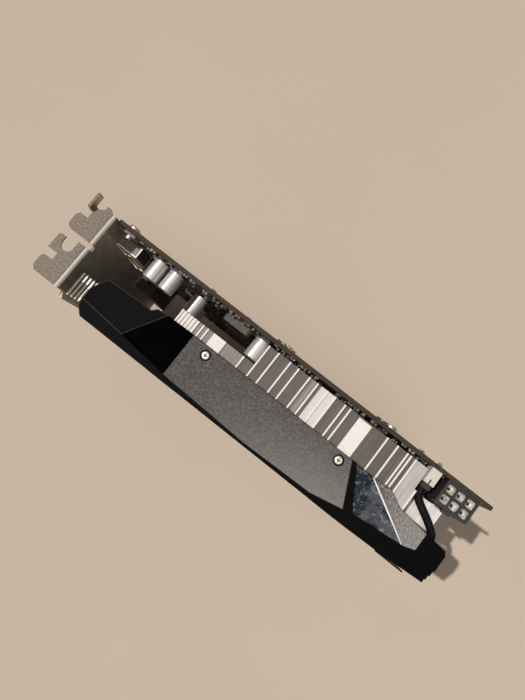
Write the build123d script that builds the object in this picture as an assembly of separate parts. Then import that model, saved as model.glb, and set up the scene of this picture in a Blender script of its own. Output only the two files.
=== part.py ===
from build123d import *
import math
import os

# Dual-slot graphics card, in millimetres.
# X runs from the outer face of the slot bracket to the tail of the board, and Z up from the tips of
# the bracket's tongues to its screw tabs. A depth is measured from the bare back of the board towards
# the fans, along -Y. export_all() then moves the origin to the middle of the footprint.

# ---- slot bracket: 1 mm steel, two slots wide ----
bracket_height = 120.02
bracket_sheet = 1.0
slot_pitch = 20.32
single_slot_width = 18.42
bracket_behind_board = 0.74
tab_reach = 11.43
tab_back = -3.4
tab_front = 14.9
tab_first_back = 0.9
bend_radius = 1.8
neck_height = 7.0
neck_slit_depth = 4.0
tongue_width = 10.19
tongue_height = 9.4
screw_slot_width = 5.2
hook_width = 2.8
vent_length = 11.4
vent_height = 2.2
vent_pitch = 4.1
vent_lowest = 30.0
vent_first_drop = 11.4
lug_length = 8.0
lug_width = 6.4
lug_top_drop = 6.6
lug_foot = 3.5

# ---- circuit board ----
board_foot = 4.97
board_drop = 3.9
board_start = 1.5
board_end = 175.2
board_thickness = 1.6
edge_tab_height = 8.25
edge_tab_start = 44.55
edge_tab_short = 11.65
edge_tab_key = 1.9
edge_tab_long = 71.65
contact_pitch = 1.0
contact_width = 0.7
contact_length = 5.6
contact_thickness = 0.08

# ---- ports ----
port_gap = 0.3
port_wall = 0.4
port_stand_out = 0.5
hdmi_width = 15.0
hdmi_height = 5.8
hdmi_length = 11.0
hdmi_top_drop = 12.3
displayport_width = 17.0
displayport_height = 6.0
displayport_length = 13.6
port_spacing = 4.6
dvi_body_margin = 2.05
dvi_body_height = 12.4
dvi_body_length = 9.0
dvi_shell_width = 26.0
dvi_shell_height = 9.6
dvi_shell_reach = 5.6
dvi_spacing = 9.42
jack_post_spacing = 33.3
jack_post_flats = 5.0
jack_post_length = 5.5
jack_thread_radius = 1.42

# ---- processor and the parts around it ----
gpu_x = 108.0
gpu_drop = 54.12
gpu_substrate_size = 31.0
gpu_substrate_height = 1.2
gpu_die_size = 14.5
gpu_die_height = 0.85
paste_thickness = 0.15
memory_width = 10.0
memory_length = 14.0
memory_height = 1.1
choke_size = 12.0
choke_height = 3.4
choke_pitch = 13.5
choke_x = 60.2
choke_top_drop = 10.0
choke_count = 4
mosfet_width = 5.2
mosfet_length = 6.2
mosfet_height = 1.0
can_radius = 3.25
can_height = 8.4
can_groove = 0.3
can_base_size = 6.8
can_base_height = 1.2
can_spots = [(22.2, 8.2), (29.8, 8.2), (39.8, 23.0), (72.6, 8.2), (33.0, 50.0), (33.0, 58.0), (33.0, 66.0),
             (168.8, 74.1), (168.8, 66.1), (168.8, 58.1)]
chip_spots = [(27.0, 26.1, 7.0, 7.0, 0.9), (30.0, 44.1, 5.0, 4.0, 1.4), (26.0, 76.1, 8.6, 5.4, 1.5),
              (42.0, 92.1, 6.0, 6.0, 0.9), (70.0, 90.1, 7.0, 5.0, 1.3), (84.0, 12.1, 5.0, 5.0, 0.9),
              (128.0, 10.1, 4.4, 4.4, 0.9), (142.0, 86.1, 6.0, 6.0, 0.9), (166.0, 26.1, 5.0, 6.0, 1.3),
              (168.0, 90.1, 6.0, 5.0, 1.2)]
small_part_rows = [2.5, 5.1, 8.5, 12.7, 16.9, 21.5, 35.6, 45.1, 61.1, 70.1, 82.6, 95.1]
back_part_spots = [(78.0, 2.7), (81.0, 2.7), (84.6, 2.5), (124.6, 3.1), (127.4, 2.7), (63.0, 6.1),
                   (46.0, 4.1), (66.0, 36.1), (66.0, 50.1), (44.0, 20.1), (150.0, 56.1), (150.0, 68.1),
                   (36.0, 86.1), (60.0, 92.1), (144.0, 2.5), (28.0, 16.1)]

# ---- heatsink ----
heatsink_top_drop = 1.8
fin_thickness = 0.65
fin_low = 3.2
fin_to_duct = 5.1
short_fin_low = 12.3
rim_thickness = 0.4
rim_drop = 0.5
rim_to_header = 0.4
base_start = 75.8
base_end = 165.0
base_thickness = 4.2
base_margin = 3.0
web_thickness = 2.4
post_width = 5.8
post_cover = 2.6
post_boss = 9.5
core_start = 101.8
core_width = 5.2
core_low = 5.1
core_drop = 9.0
end_fin_drop = 5.6
end_notch_depth = 12.2
end_notch_height = 17.0
base_reveal = 3.0
web_inset = 4.0
short_fin_spots = [42.0, 43.5, 45.0, 46.5, 48.0, 49.5, 51.9, 54.1, 71.0]
long_fin_spots = [76.2, 80.6, 86.1, 90.0, 95.2, 99.0, 103.6, 107.2, 111.8, 114.2,
                  131.3, 136.0, 140.4, 141.9, 144.1]
header_fin_spots = [150.4]
end_fin_spots = [159.3, 164.2]
post_spots = [59.7, 121.4]
cooler_screw_spacing = 54.0
cooler_shank_radius = 1.1
cooler_head_radius = 2.8
cooler_head_height = 1.6
spring_length = 2.8
spring_radius = 1.9
spring_wire = 0.3
spring_pitch = 1.1

# ---- power socket, fan header and leads ----
socket_start = 157.4
socket_pitch = 4.2
socket_columns = 3
socket_rows = 2
socket_border = 0.6
socket_cell = 3.5
socket_height = 12.8
socket_floor = 1.8
socket_drop = 1.0
power_pin_radius = 0.55
header_start = 150.2
header_width = 4.2
header_depth = 6.1
header_length = 6.0
header_pins = 2
header_wall = 0.6
header_drop = 1.0
header_pin_pitch = 2.0
header_pin_radius = 0.28
plug_stand_out = 2.1
pin_clearance = 0.06
fan_lead_diameter = 3.0
lead_clip_wall = 0.2
lead_clip_length = 3.2
lead_drop = 1.8

# ---- shroud ----
skirt_rise = 0.48
skirt_foot = 0.98
skirt_thickness = 2.0
wall = 2.0
front_depth = 38.6
tail_setback = 1.7
front_bevel = 2.4
shroud_start = 9.6
shroud_end = 171.3
left_wall_width = 11.2
tail_wall_width = 15.6
step_drop = 1.2
panel_thickness = 1.3
panel_recess = 1.2
panel_clearance = 0.12
overlap = 0.3
trim_thickness = 0.6
wedge_drop = 9.0
bezel_width = 1.2
shroud_screw_head_radius = 1.6
shroud_screw_head_height = 1.4
shroud_screw_shank = 1.2
shroud_screw_length = 8.0
counterbore_radius = 2.15
shroud_screw_setback = 17.6

# ---- fans ----
fan_spread = 1.85
fan_web = 1.4
tip_gap = 1.4
duct_wall = 1.4
duct_length = 12.3
blade_count = 11
blade_thickness = 1.1
hub_radius = 14.0
hub_wall = 1.5
hub_lift = 1.3
hub_inset = 2.6
mount_thickness = 1.5
mount_arm_width = 4.0
mount_screw_offset = 3.5
mount_boss_radius = 2.6
mount_screw_radius = 0.95
shaft_radius = 1.0
bearing_clearance = 0.03
bearing_radius = 2.5
bearing_tube_wall = 1.0
bearing_inset = 3.0
back_iron_thickness = 0.6
magnet_thickness = 1.5
motor_gap = 0.5
stator_thickness = 4.0
motor_board_radius = 11.4
motor_board_thickness = 0.8
fit_gap = 0.02

# ---- places worked out from the sizes above ----
tab_top = bracket_height
board_top = bracket_height - board_drop
board_low = board_foot
board_bottom = board_low + edge_tab_height
bracket_front = slot_pitch + single_slot_width - bracket_behind_board
dvi_body_width = jack_post_spacing + 2 * dvi_body_margin
gpu_z = board_top - gpu_drop
skirt_top = board_top + skirt_rise
skirt_bottom = board_bottom + skirt_foot
skirt_middle = (skirt_top + skirt_bottom) / 2
skirt_underside = skirt_top - skirt_thickness
heatsink_top = board_top - heatsink_top_drop
heatsink_bottom = 2 * skirt_middle - heatsink_top
base_low = board_thickness + gpu_substrate_height + gpu_die_height + paste_thickness
fan_pitch = (shroud_end - shroud_start) / 2 - fan_spread
fan_centres = [(shroud_start + shroud_end - fan_pitch) / 2, (shroud_start + shroud_end + fan_pitch) / 2]
duct_radius = (fan_pitch - fan_web) / 2
blade_tip_radius = duct_radius - tip_gap
mount_screw_circle = duct_radius + mount_screw_offset
duct_back = front_depth - duct_length
mount_back = duct_back - mount_thickness
hub_back = duct_back + hub_lift
hub_front = front_depth - hub_inset
bearing_front = hub_front - bearing_inset
fin_high = duct_back - fin_to_duct
shroud_screw_depth = front_depth - shroud_screw_setback
post_high = shroud_screw_depth + post_cover
base_span = cooler_screw_spacing + 2 * base_margin

parts = {}
board_holes = []
taken = []


# ---- shape helpers: x, depth and z in the card's own directions ----
def block(x0, x1, depth0, depth1, z0, z1):
    return Pos((x0 + x1) / 2, -(depth0 + depth1) / 2, (z0 + z1) / 2) * Box(x1 - x0, depth1 - depth0, z1 - z0)


def prism_up(points, z0, z1):
    """Outline of (x, depth) points, raised from z0 to z1."""
    face = Polygon(*[(x, -depth) for x, depth in points], align=None)
    return Pos(0, 0, z0) * extrude(face, amount=z1 - z0, dir=(0, 0, 1))


def prism_out(points, depth0, depth1):
    """Outline of (x, z) points, raised from depth0 to depth1."""
    face = Plane.XZ.offset(depth0) * Polygon(*points, align=None)
    return extrude(face, amount=depth1 - depth0, dir=(0, -1, 0))


def prism_along(points, x0, x1):
    """Outline of (depth, z) points, drawn out from x0 to x1."""
    face = Plane.YZ.offset(x0) * Polygon(*[(-depth, z) for depth, z in points], align=None)
    return extrude(face, amount=x1 - x0, dir=(1, 0, 0))


def rod_out(x, z, depth0, depth1, radius):
    return Plane.XZ.offset(depth0) * Pos(x, z) * extrude(Circle(radius), amount=depth1 - depth0)


def rod_up(x, depth, z0, z1, radius):
    return Pos(x, -depth, z0) * extrude(Circle(radius), amount=z1 - z0)


def rod_along(depth, z, x0, x1, radius):
    return Plane.YZ.offset(x0) * Pos(-depth, z) * extrude(Circle(radius), amount=x1 - x0)


def tube_out(x, z, depth0, depth1, outer, inner):
    return rod_out(x, z, depth0, depth1, outer) - rod_out(x, z, depth0, depth1, inner)


def group(solids):
    return Compound(children=[solid for piece in solids for solid in piece.solids()])


def fused(pieces):
    return pieces[0] + pieces[1:]


def reserve(x, z, width, height, margin=0.6):
    """Notes a footprint on the front of the board, so that small parts stay off it."""
    half_width, half_height = width / 2 + margin, height / 2 + margin
    taken.append((x - half_width, x + half_width, z - half_height, z + half_height))


def is_free(x, z, width, height):
    return not any(x + width / 2 > low_x and x - width / 2 < high_x and z + height / 2 > low_z
                   and z - height / 2 < high_z for low_x, high_x, low_z, high_z in taken)


# ---- slot bracket ----
def tab_root():
    return bracket_sheet - bend_radius


def tab_outline():
    """Lobe, square notch and screw slot of a tab, as (x, depth from its slot) points."""
    slot_edge = -tab_reach + hook_width
    radius = screw_slot_width / 2
    round_end = [(slot_edge + radius - radius * math.cos(a), radius * math.sin(a))
                 for a in (math.pi * i / 12 for i in range(13))]
    lobe = [(tab_root(), tab_front), (-tab_reach + 1.6, tab_front), (-tab_reach, tab_front - 1.4),
            (-tab_reach, 9.1), (-tab_reach + 1.0, 7.9), (-7.0, 7.9), (-7.0, 4.9)]
    return lobe, round_end, slot_edge


def first_tab():
    """The tab next to the board: its hook is bent up, and the board side is cut short."""
    lobe, round_end, slot_edge = tab_outline()
    inner = slot_edge + screw_slot_width
    root = [(slot_edge, 4.9)] + round_end[:-1] + [(inner - 0.4, -0.2), (inner + 1.3, -0.2),
                                                  (tab_root(), tab_first_back)]
    flat = prism_up(lobe + root, tab_top - bracket_sheet, tab_top)
    low, high, slope = tab_top - bracket_sheet, tab_top + hook_width, 0.6
    hook = [(-2.1, low), (4.7, low), (4.7, high - slope), (4.7 - slope, high), (slope - 2.1, high),
            (-2.1, high - slope)]
    return flat + prism_along(hook, slot_edge, slot_edge + bracket_sheet)


def second_tab():
    lobe, round_end, slot_edge = tab_outline()
    hook = [(-tab_reach, 4.9), (-tab_reach, -1.3), (-tab_reach + 0.8, -2.1), (slot_edge, -2.1)]
    root = round_end + [(slot_edge + screw_slot_width, tab_back), (tab_root(), tab_back)]
    points = [(x, depth + slot_pitch) for x, depth in lobe + hook + root]
    return prism_up(points, tab_top - bracket_sheet, tab_top)


def bend(back, front):
    """Quarter-round bend between a tab and the upright plate."""
    inner = bend_radius - bracket_sheet
    ring = rod_out(0, 0, 0, 1, bend_radius) - rod_out(0, 0, 0, 1, inner)
    quarter = ring & block(0, bend_radius, 0, 1, 0, bend_radius)
    quarter = scale(quarter, by=(1, front - back, 1))
    return Pos(tab_root(), -back, tab_top - bend_radius) * quarter


def make_bracket():
    back = -bracket_behind_board
    neck_front = slot_pitch + tab_front
    neck_low = tab_top - neck_height
    flare = bracket_front - neck_front
    upright_top = tab_top - bend_radius
    outline = [(tab_first_back, upright_top), (neck_front, upright_top), (neck_front, neck_low),
               (bracket_front, neck_low - flare), (bracket_front, tongue_height)]
    first_centre = (single_slot_width - 2 * bracket_behind_board) / 2
    for centre in (first_centre + slot_pitch, first_centre):
        half = tongue_width / 2
        outline += [(centre + half, tongue_height), (centre + half, 1.6), (centre + half - 1.2, 0),
                    (centre - half + 1.2, 0), (centre - half, 1.6), (centre - half, tongue_height)]
    outline += [(back, tongue_height), (back, neck_low - flare), (tab_first_back, neck_low)]
    plate = prism_along(outline, 0, bracket_sheet)
    slit = (tab_front, slot_pitch + tab_back)
    bends = [bend(tab_first_back, tab_front), bend(slit[1], neck_front)]
    bracket = fused([plate, first_tab(), second_tab()] + bends)
    bracket -= block(-tab_reach, bend_radius, slit[0], slit[1], tab_top - neck_slit_depth, tab_top + 1)
    vent_middle = bracket_front - 2.2 - vent_length / 2
    vent_count = 1 + int((tab_top - vent_first_drop - vent_lowest) / vent_pitch)
    for row in range(vent_count):
        z = tab_top - vent_first_drop - row * vent_pitch
        slot = extrude(SlotOverall(vent_length, vent_height), amount=bracket_sheet)
        vent = Plane.YZ * Pos(-vent_middle, z) * slot
        bracket -= vent
    for z in lug_places():
        bracket += block(bracket_sheet / 2, bracket_sheet + lug_length, board_thickness,
                         board_thickness + bracket_sheet, z - lug_width / 2, z + lug_width / 2)
        bracket -= rod_out(lug_screw_x(), z, 0, 2 * board_thickness, mount_screw_radius + 0.3 + fit_gap)
        reserve(bracket_sheet + lug_length / 2, z, lug_length + 1, lug_width)
    for width, height, middle, depth in port_windows():
        bracket -= block(-1, bracket_sheet + 1, depth - height / 2, depth + height / 2,
                         middle - width / 2, middle + width / 2)
    for z in jack_post_places():
        bracket -= rod_along(dvi_depth(), z, -1, bracket_sheet + 1, jack_thread_radius + 0.2)
    parts["io_bracket"] = bracket


def lug_places():
    return [board_top - lug_top_drop, board_bottom + lug_foot]


def lug_screw_x():
    return bracket_sheet + lug_length / 2 + 0.6


def make_bracket_screws():
    screws = []
    for z in lug_places():
        radius = mount_screw_radius + 0.3
        head = rod_out(lug_screw_x(), z, -1.8, 0, 2.5)
        head = fillet(head.edges().sort_by(Axis.Y)[-1], 0.7)
        x = lug_screw_x()
        cross = [block(x - a, x + a, -2, -0.9, z - b, z + b) for a, b in ((1.4, 0.3), (0.3, 1.4))]
        shank = rod_out(lug_screw_x(), z, 0, board_thickness + bracket_sheet + 1.2, radius)
        screws.append(head - cross + shank)
        board_holes.append((lug_screw_x(), z, radius + 0.3))
    parts["bracket_screws"] = group(screws)


# ---- ports behind the bracket ----
def hdmi_middle():
    return tab_top - board_drop - hdmi_top_drop - hdmi_width / 2


def displayport_middle():
    return hdmi_middle() - hdmi_width / 2 - port_spacing - displayport_width / 2


def dvi_middle():
    return displayport_middle() - displayport_width / 2 - dvi_spacing - dvi_body_width / 2


def dvi_depth():
    return board_thickness + dvi_body_height / 2 + 0.4


def jack_post_places():
    return [dvi_middle() - jack_post_spacing / 2, dvi_middle() + jack_post_spacing / 2]


def port_windows():
    """Width, height, middle and depth of each cut-out in the bracket."""
    gap = 2 * port_gap
    return [(hdmi_width + gap, hdmi_height + gap, hdmi_middle(), board_thickness + hdmi_height / 2),
            (displayport_width + gap, displayport_height + gap, displayport_middle(),
             board_thickness + displayport_height / 2),
            (dvi_shell_width + gap, dvi_shell_height + gap, dvi_middle(), dvi_depth())]


def board_legs(x_places, z_places, radius=0.45):
    """Legs that go from the front face through the board."""
    legs = []
    for x in x_places:
        for z in z_places:
            legs.append(rod_out(x, z, -1.3, board_thickness, radius))
            board_holes.append((x, z, radius + pin_clearance))
    return legs


def slim_port(name, width, height, length, middle, tongue_share):
    """A folded steel shell with a moulded tongue inside, as on a thin video port."""
    low, high = board_thickness, board_thickness + height
    z0, z1 = middle - width / 2, middle + width / 2
    corner = 1.3
    outline = [(low, z0 + corner), (low, z1 - corner), (low + corner, z1), (high, z1), (high, z0),
               (low + corner, z0)]
    inner = [(low + port_wall, z0 + corner + 0.2), (low + port_wall, z1 - corner - 0.2),
             (low + corner + 0.2, z1 - port_wall), (high - port_wall, z1 - port_wall),
             (high - port_wall, z0 + port_wall), (low + corner + 0.2, z0 + port_wall)]
    shell = prism_along(outline, -port_stand_out, length)
    shell -= prism_along(inner, -port_stand_out - 1, length + 1)
    legs = board_legs((3.2, length - 1.6), (z0 + 1.9, z1 - 1.9))
    reserve(length / 2, middle, length + 2, width)
    parts[name + "_shell"] = fused([shell] + legs)
    back = prism_along([(d, z) for d, z in shrink(inner, fit_gap)], length - 3.6, length - 0.4)
    half = (width - 2 * port_wall) * tongue_share / 2
    depth = (low + high) / 2
    tongue = block(0.9, length - 3.0, depth - 0.95, depth + 0.95, middle - half, middle + half)
    parts[name + "_insert"] = back + tongue


def shrink(points, gap):
    middle_d = sum(d for d, _ in points) / len(points)
    middle_z = sum(z for _, z in points) / len(points)
    return [(d - math.copysign(gap, d - middle_d), z - math.copysign(gap, z - middle_z)) for d, z in points]


def make_dvi():
    low = board_thickness
    depth = dvi_depth()
    body_back = bracket_sheet + 1.0
    z0, z1 = dvi_middle() - dvi_body_width / 2, dvi_middle() + dvi_body_width / 2
    flange = block(bracket_sheet, body_back, low, low + dvi_body_height + 0.8, z0, z1)
    half_w, half_h = dvi_shell_width / 2, dvi_shell_height / 2
    middle = dvi_middle()

    def d_shape(gap):
        w, h = half_w - gap, half_h - gap
        return [(depth - h, middle - w + 1.6), (depth - h, middle + w - 1.6), (depth + h, middle + w),
                (depth + h, middle - w)]

    shell = prism_along(d_shape(0), -dvi_shell_reach, bracket_sheet)
    shell -= prism_along(d_shape(port_wall), -dvi_shell_reach - 1, body_back + 1)
    flange -= prism_along(d_shape(port_wall), 0, body_back + 1)
    for z in jack_post_places():
        flange -= rod_along(depth, z, 0, body_back + 1, jack_thread_radius + fit_gap)
    parts["dvi_shell"] = flange + shell
    body = block(body_back, body_back + dvi_body_length, low, low + dvi_body_height, z0 + 0.8, z1 - 0.8)
    for z in jack_post_places():
        body -= rod_along(depth, z, body_back - 1, body_back + 6, jack_thread_radius + 0.4)
    plug_face = prism_along(d_shape(port_wall + 1.0), -dvi_shell_reach + 0.8, body_back)
    insert = body + plug_face
    pitch = 1.95
    for column in range(8):
        for row in range(3):
            insert -= rod_along(depth + (row - 1) * pitch, middle - 5.9 + column * pitch, -dvi_shell_reach,
                                -dvi_shell_reach + 4.0, 0.55)
    insert -= block(-dvi_shell_reach, -dvi_shell_reach + 4.0, depth - 0.4, depth + 0.4, middle - 11.3,
                    middle - 7.9)
    leg_rows = [body_back + share * dvi_body_length for share in (0.25, 0.5, 0.75)]
    legs = board_legs(leg_rows, [z0 + 5 + 5.3 * i for i in range(6)])
    parts["dvi_insert"] = fused([insert] + legs)
    reserve(body_back + dvi_body_length / 2, middle, dvi_body_length + 3, dvi_body_width)


def make_jack_posts():
    posts = []
    for z in jack_post_places():
        hexagon = Plane.YZ.offset(-jack_post_length) * Pos(-dvi_depth(), z) * extrude(
            RegularPolygon(jack_post_flats / 2, 6, major_radius=False), amount=jack_post_length)
        thread = rod_along(dvi_depth(), z, 0, bracket_sheet + 4.0, jack_thread_radius)
        bore = rod_along(dvi_depth(), z, -jack_post_length - 1, -0.8, jack_thread_radius)
        posts.append(hexagon + thread - bore)
    parts["dvi_jack_posts"] = group(posts)


# ---- processor, memory and power parts ----
def chip(x, z, width, length, low, height):
    return block(x - width / 2, x + width / 2, low, low + height, z - length / 2, z + length / 2)


def make_processor():
    low = board_thickness
    parts["gpu_substrate"] = chip(gpu_x, gpu_z, gpu_substrate_size, gpu_substrate_size, low,
                                  gpu_substrate_height)
    low += gpu_substrate_height
    parts["gpu_die"] = chip(gpu_x, gpu_z, gpu_die_size, gpu_die_size, low, gpu_die_height)
    low += gpu_die_height
    parts["thermal_paste"] = chip(gpu_x, gpu_z, gpu_die_size - 1, gpu_die_size - 1, low, paste_thickness)
    reserve(gpu_x, gpu_z, gpu_substrate_size, gpu_substrate_size)


def memory_places():
    beside = gpu_x - gpu_substrate_size / 2 - memory_width / 2 - 2.4
    above = gpu_z + gpu_substrate_size / 2 + memory_width / 2 + 2.6
    across = memory_length / 2 + 1.4
    return [(beside, gpu_z - across, memory_width, memory_length),
            (beside, gpu_z + across, memory_width, memory_length),
            (gpu_x - across, above, memory_length, memory_width),
            (gpu_x + across, above, memory_length, memory_width)]


def make_memory():
    chips, pads = [], []
    top = board_thickness + memory_height
    for x, z, width, length in memory_places():
        chips.append(chip(x, z, width, length, board_thickness, memory_height))
        pads.append(chip(x, z, width - 1.5, length - 1.5, top, base_low - top))
        reserve(x, z, width, length)
    parts["memory_chips"] = group(chips)
    parts["memory_pads"] = group(pads)


def make_power_stage():
    chokes, mosfets = [], []
    for row in range(choke_count):
        z = board_top - choke_top_drop - choke_size / 2 - row * choke_pitch
        body = chip(choke_x, z, choke_size, choke_size, board_thickness, choke_height)
        chokes.append(chamfer(body.edges().filter_by(Axis.Y), 0.8))
        reserve(choke_x, z, choke_size, choke_size)
        x = choke_x + choke_size / 2 + 1.6 + mosfet_width / 2
        mosfets.append(chip(x, z, mosfet_width, mosfet_length, board_thickness, mosfet_height))
        reserve(x, z, mosfet_width, mosfet_length)
    parts["chokes"] = group(chokes)
    parts["mosfets"] = group(mosfets)


def can_places():
    return [(x, board_top - drop) for x, drop in can_spots]


def make_cans():
    cans, bases = [], []
    for x, z in can_places():
        low = board_thickness
        base = chip(x, z, can_base_size, can_base_size, low, can_base_height)
        bases.append(chamfer(base.edges().filter_by(Axis.Y).sort_by(Axis.X)[-2:], 0.9))
        low += can_base_height
        can = rod_out(x, z, low, low + can_height, can_radius)
        can = fillet(can.edges().sort_by(Axis.Y)[0], 0.5)
        groove = tube_out(x, z, low + 0.9, low + 1.5, can_radius + 1, can_radius - can_groove)
        score = block(x - 1.6, x + 1.6, low + can_height - 0.15, low + can_height + 1, z - 0.12, z + 0.12)
        cans.append(can - groove - score)
        reserve(x, z, can_base_size, can_base_size)
    parts["capacitor_cans"] = group(cans)
    parts["capacitor_bases"] = group(bases)


def make_control_chips():
    """Regulator, memory and fan control packages."""
    chips = []
    for x, drop, width, length, height in chip_spots:
        z = board_top - drop
        chips.append(chip(x, z, width, length, board_thickness, height))
        reserve(x, z, width, length)
    parts["control_chips"] = group(chips)


def make_small_parts():
    """Rows of chip resistors and capacitors, set wherever the board is free."""
    sizes = ((1.6, 0.8, 0.7), (1.0, 0.5, 0.5), (2.0, 1.2, 0.9), (1.0, 0.5, 0.5), (0.8, 1.6, 0.7))
    front = []
    for row, drop in enumerate(small_part_rows):
        x = 10.0 + 1.7 * (row % 3)
        step = 0
        while x < board_end - 4:
            width, length, height = sizes[(3 * row + 7 * step) % len(sizes)]
            spot_z = board_top - drop + 0.35 * ((5 * row + 3 * step) % 4 - 1.5)
            if is_free(x, spot_z, width, length):
                front.append(chip(x, spot_z, width, length, board_thickness, height))
                reserve(x, spot_z, width, length, 0.1)
            x += 2.6 + 0.9 * ((step * 5 + row) % 4) + (6.0 if (step + row) % 6 == 0 else 0) + 0.35 * row
            step += 1
    parts["small_parts"] = group(front)
    behind = []
    for row in range(5):
        for column in range(6):
            x = gpu_x + (column - 2.5) * 4.1
            z = gpu_z + (row - 2) * 4.6
            width, length = (1.6, 0.8) if (row + column) % 2 else (0.8, 1.6)
            behind.append(chip(x, z, width, length, -0.7, 0.7))
    for x, drop in back_part_spots:
        behind.append(chip(x, board_top - drop, 2.0, 1.2, -0.9, 0.9))
    parts["back_parts"] = group(behind)


# ---- heatsink ----
def base_low_z():
    return gpu_z - base_span / 2


def base_high_z():
    return gpu_z + base_span / 2


def upright_fin(x, low, drop=0.0):
    half = fin_thickness / 2
    return block(x - half, x + half, low, fin_high, heatsink_bottom + drop, heatsink_top - drop)


def long_fin(x, drop=0.0):
    """A fin that is relieved behind the base, where it would meet the chips' pads."""
    return upright_fin(x, fin_low, drop) - block(x - fin_thickness, x + fin_thickness, fin_low, base_low,
                                                 base_low_z() - base_reveal, base_high_z() + base_reveal)


def folded_rims(spots, low, drop=0.0):
    """The folded edges of a row of fins, each reaching to the next fin, at the top and at the bottom."""
    rims = []
    for x0, x1 in zip(spots, spots[1:]):
        for z in (heatsink_top - drop - rim_drop - rim_thickness, heatsink_bottom + drop + rim_drop):
            rims.append(block(x0, x1, low, fin_high, z, z + rim_thickness))
    return rims


def header_notch(x):
    """Room at the top of a fin for the fan header, its plug and the power socket."""
    return block(x - fin_thickness, x + fin_thickness, 0, end_notch_depth, heatsink_top - end_notch_height,
                 heatsink_top + 1)


def make_heatsink():
    low_z, high_z = base_low_z(), base_high_z()
    base = block(base_start, base_end, base_low, base_low + base_thickness, low_z, high_z)
    web = block(short_fin_spots[0], base_start + fin_thickness, short_fin_low, short_fin_low + web_thickness,
                low_z + web_inset, high_z - web_inset)
    pieces = [base, web]
    pieces += [upright_fin(x, short_fin_low) for x in short_fin_spots]
    pieces += [long_fin(x) for x in long_fin_spots]
    pieces += [long_fin(x) - header_notch(x) for x in header_fin_spots]
    pieces += [long_fin(x, end_fin_drop) - header_notch(x) for x in end_fin_spots]
    pieces += folded_rims(sorted(short_fin_spots + post_spots[:1] + long_fin_spots[:1]), short_fin_low)
    pieces += folded_rims(sorted(long_fin_spots + post_spots[1:]), fin_low)
    pieces += folded_rims([long_fin_spots[-1], header_start - rim_to_header], fin_low)
    pieces += folded_rims(long_fin_spots[-1:] + header_fin_spots, end_notch_depth)
    pieces += folded_rims(header_fin_spots + end_fin_spots, end_notch_depth, end_fin_drop)
    for x, low in zip(post_spots, (short_fin_low, base_low)):
        x0, x1 = x - post_width / 2, x + post_width / 2
        pieces.append(block(x0, x1, low, fin_high, heatsink_bottom, heatsink_top))
        pieces.append(block(x0, x1, low, post_high, heatsink_top - post_boss, heatsink_top))
        pieces.append(block(x0, x1, low, post_high, heatsink_bottom, heatsink_bottom + post_boss))
    pieces.append(block(core_start, core_start + core_width, core_low, fin_high, heatsink_bottom + core_drop,
                        heatsink_top - core_drop))
    sink = fused(pieces)
    for x in post_spots:
        for z0, z1 in ((heatsink_top - shroud_screw_length, heatsink_top + 1),
                       (heatsink_bottom - 1, heatsink_bottom + shroud_screw_length)):
            sink -= rod_up(x, shroud_screw_depth, z0, z1, shroud_screw_shank + fit_gap)
    for x, z in cooler_screw_places():
        sink -= rod_out(x, z, base_low - 1, base_low + base_thickness, cooler_shank_radius + fit_gap)
    parts["heatsink"] = sink


def cooler_screw_places():
    half = cooler_screw_spacing / 2
    return [(gpu_x + a * half, gpu_z + b * half) for a in (-1, 1) for b in (-1, 1)]


def make_cooler_screws():
    screws, springs = [], []
    for x, z in cooler_screw_places():
        head = rod_out(x, z, -spring_length - cooler_head_height, -spring_length, cooler_head_radius)
        head = fillet(head.edges().sort_by(Axis.Y)[-1], 0.5)
        top = -spring_length - cooler_head_height
        cross = [block(x - a, x + a, top - 1, top + 0.9, z - b, z + b) for a, b in ((1.5, 0.3), (0.3, 1.5))]
        shank = rod_out(x, z, -spring_length, base_low + base_thickness - 0.6, cooler_shank_radius)
        screws.append(head - cross + shank)
        board_holes.append((x, z, cooler_shank_radius + 0.4))
        reserve(x, z, 7, 7)
        coil_height = spring_length - 2 * spring_wire
        path = Helix(pitch=spring_pitch, height=coil_height, radius=spring_radius)
        profile = Plane(origin=path @ 0, z_dir=path % 0) * Circle(spring_wire)
        coil = sweep(profile, path=path)
        springs.append(Pos(x, spring_wire, z) * Rot(-90, 0, 0) * coil)
    parts["cooler_screws"] = group(screws)
    parts["cooler_springs"] = group(springs)


# ---- power socket and fan header ----
def make_power_socket():
    length = socket_columns * socket_pitch + 2 * socket_border
    height = socket_rows * socket_pitch + 2 * socket_border
    top = board_top - socket_drop
    low = board_thickness
    x0 = socket_start
    body = block(x0, x0 + length, low, low + height, top - socket_height, top)
    body = chamfer(body.edges().filter_by(Axis.Z), 0.5)
    latch_x = x0 + length / 2
    latch = prism_along([(low + height, top - 3), (low + height + 1.4, top - 3),
                         (low + height + 1.4, top - 4),
                         (low + height, top - 7)], latch_x - 1.8, latch_x + 1.8)
    body += latch
    pins = []
    for column in range(socket_columns):
        for row in range(socket_rows):
            x = x0 + socket_border + socket_pitch * (column + 0.5)
            depth = low + socket_border + socket_pitch * (row + 0.5)
            half = socket_cell / 2
            cell_floor = top - socket_height + socket_floor
            cell = block(x - half, x + half, depth - half, depth + half, cell_floor, top + 1)
            if (row + column) % 2:
                cell = chamfer(cell.edges().filter_by(Axis.Z).sort_by(Axis.Y)[:2], 0.8)
            body -= cell
            body -= rod_up(x, depth, top - socket_height - 1, top, power_pin_radius + pin_clearance)
            bend_z = top - socket_height - 1.6 - 2.2 * row
            upright = rod_up(x, depth, bend_z - power_pin_radius, top - 4.2, power_pin_radius)
            across = rod_out(x, bend_z, -1.5, depth, power_pin_radius)
            pins.append(upright + across)
            board_holes.append((x, bend_z, power_pin_radius + pin_clearance))
    parts["power_socket"] = body
    parts["power_pins"] = group(pins)
    reserve(x0 + length / 2, top - socket_height / 2 - 2.5, length, socket_height + 5)


def header_middle():
    return header_start + header_width / 2


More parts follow.
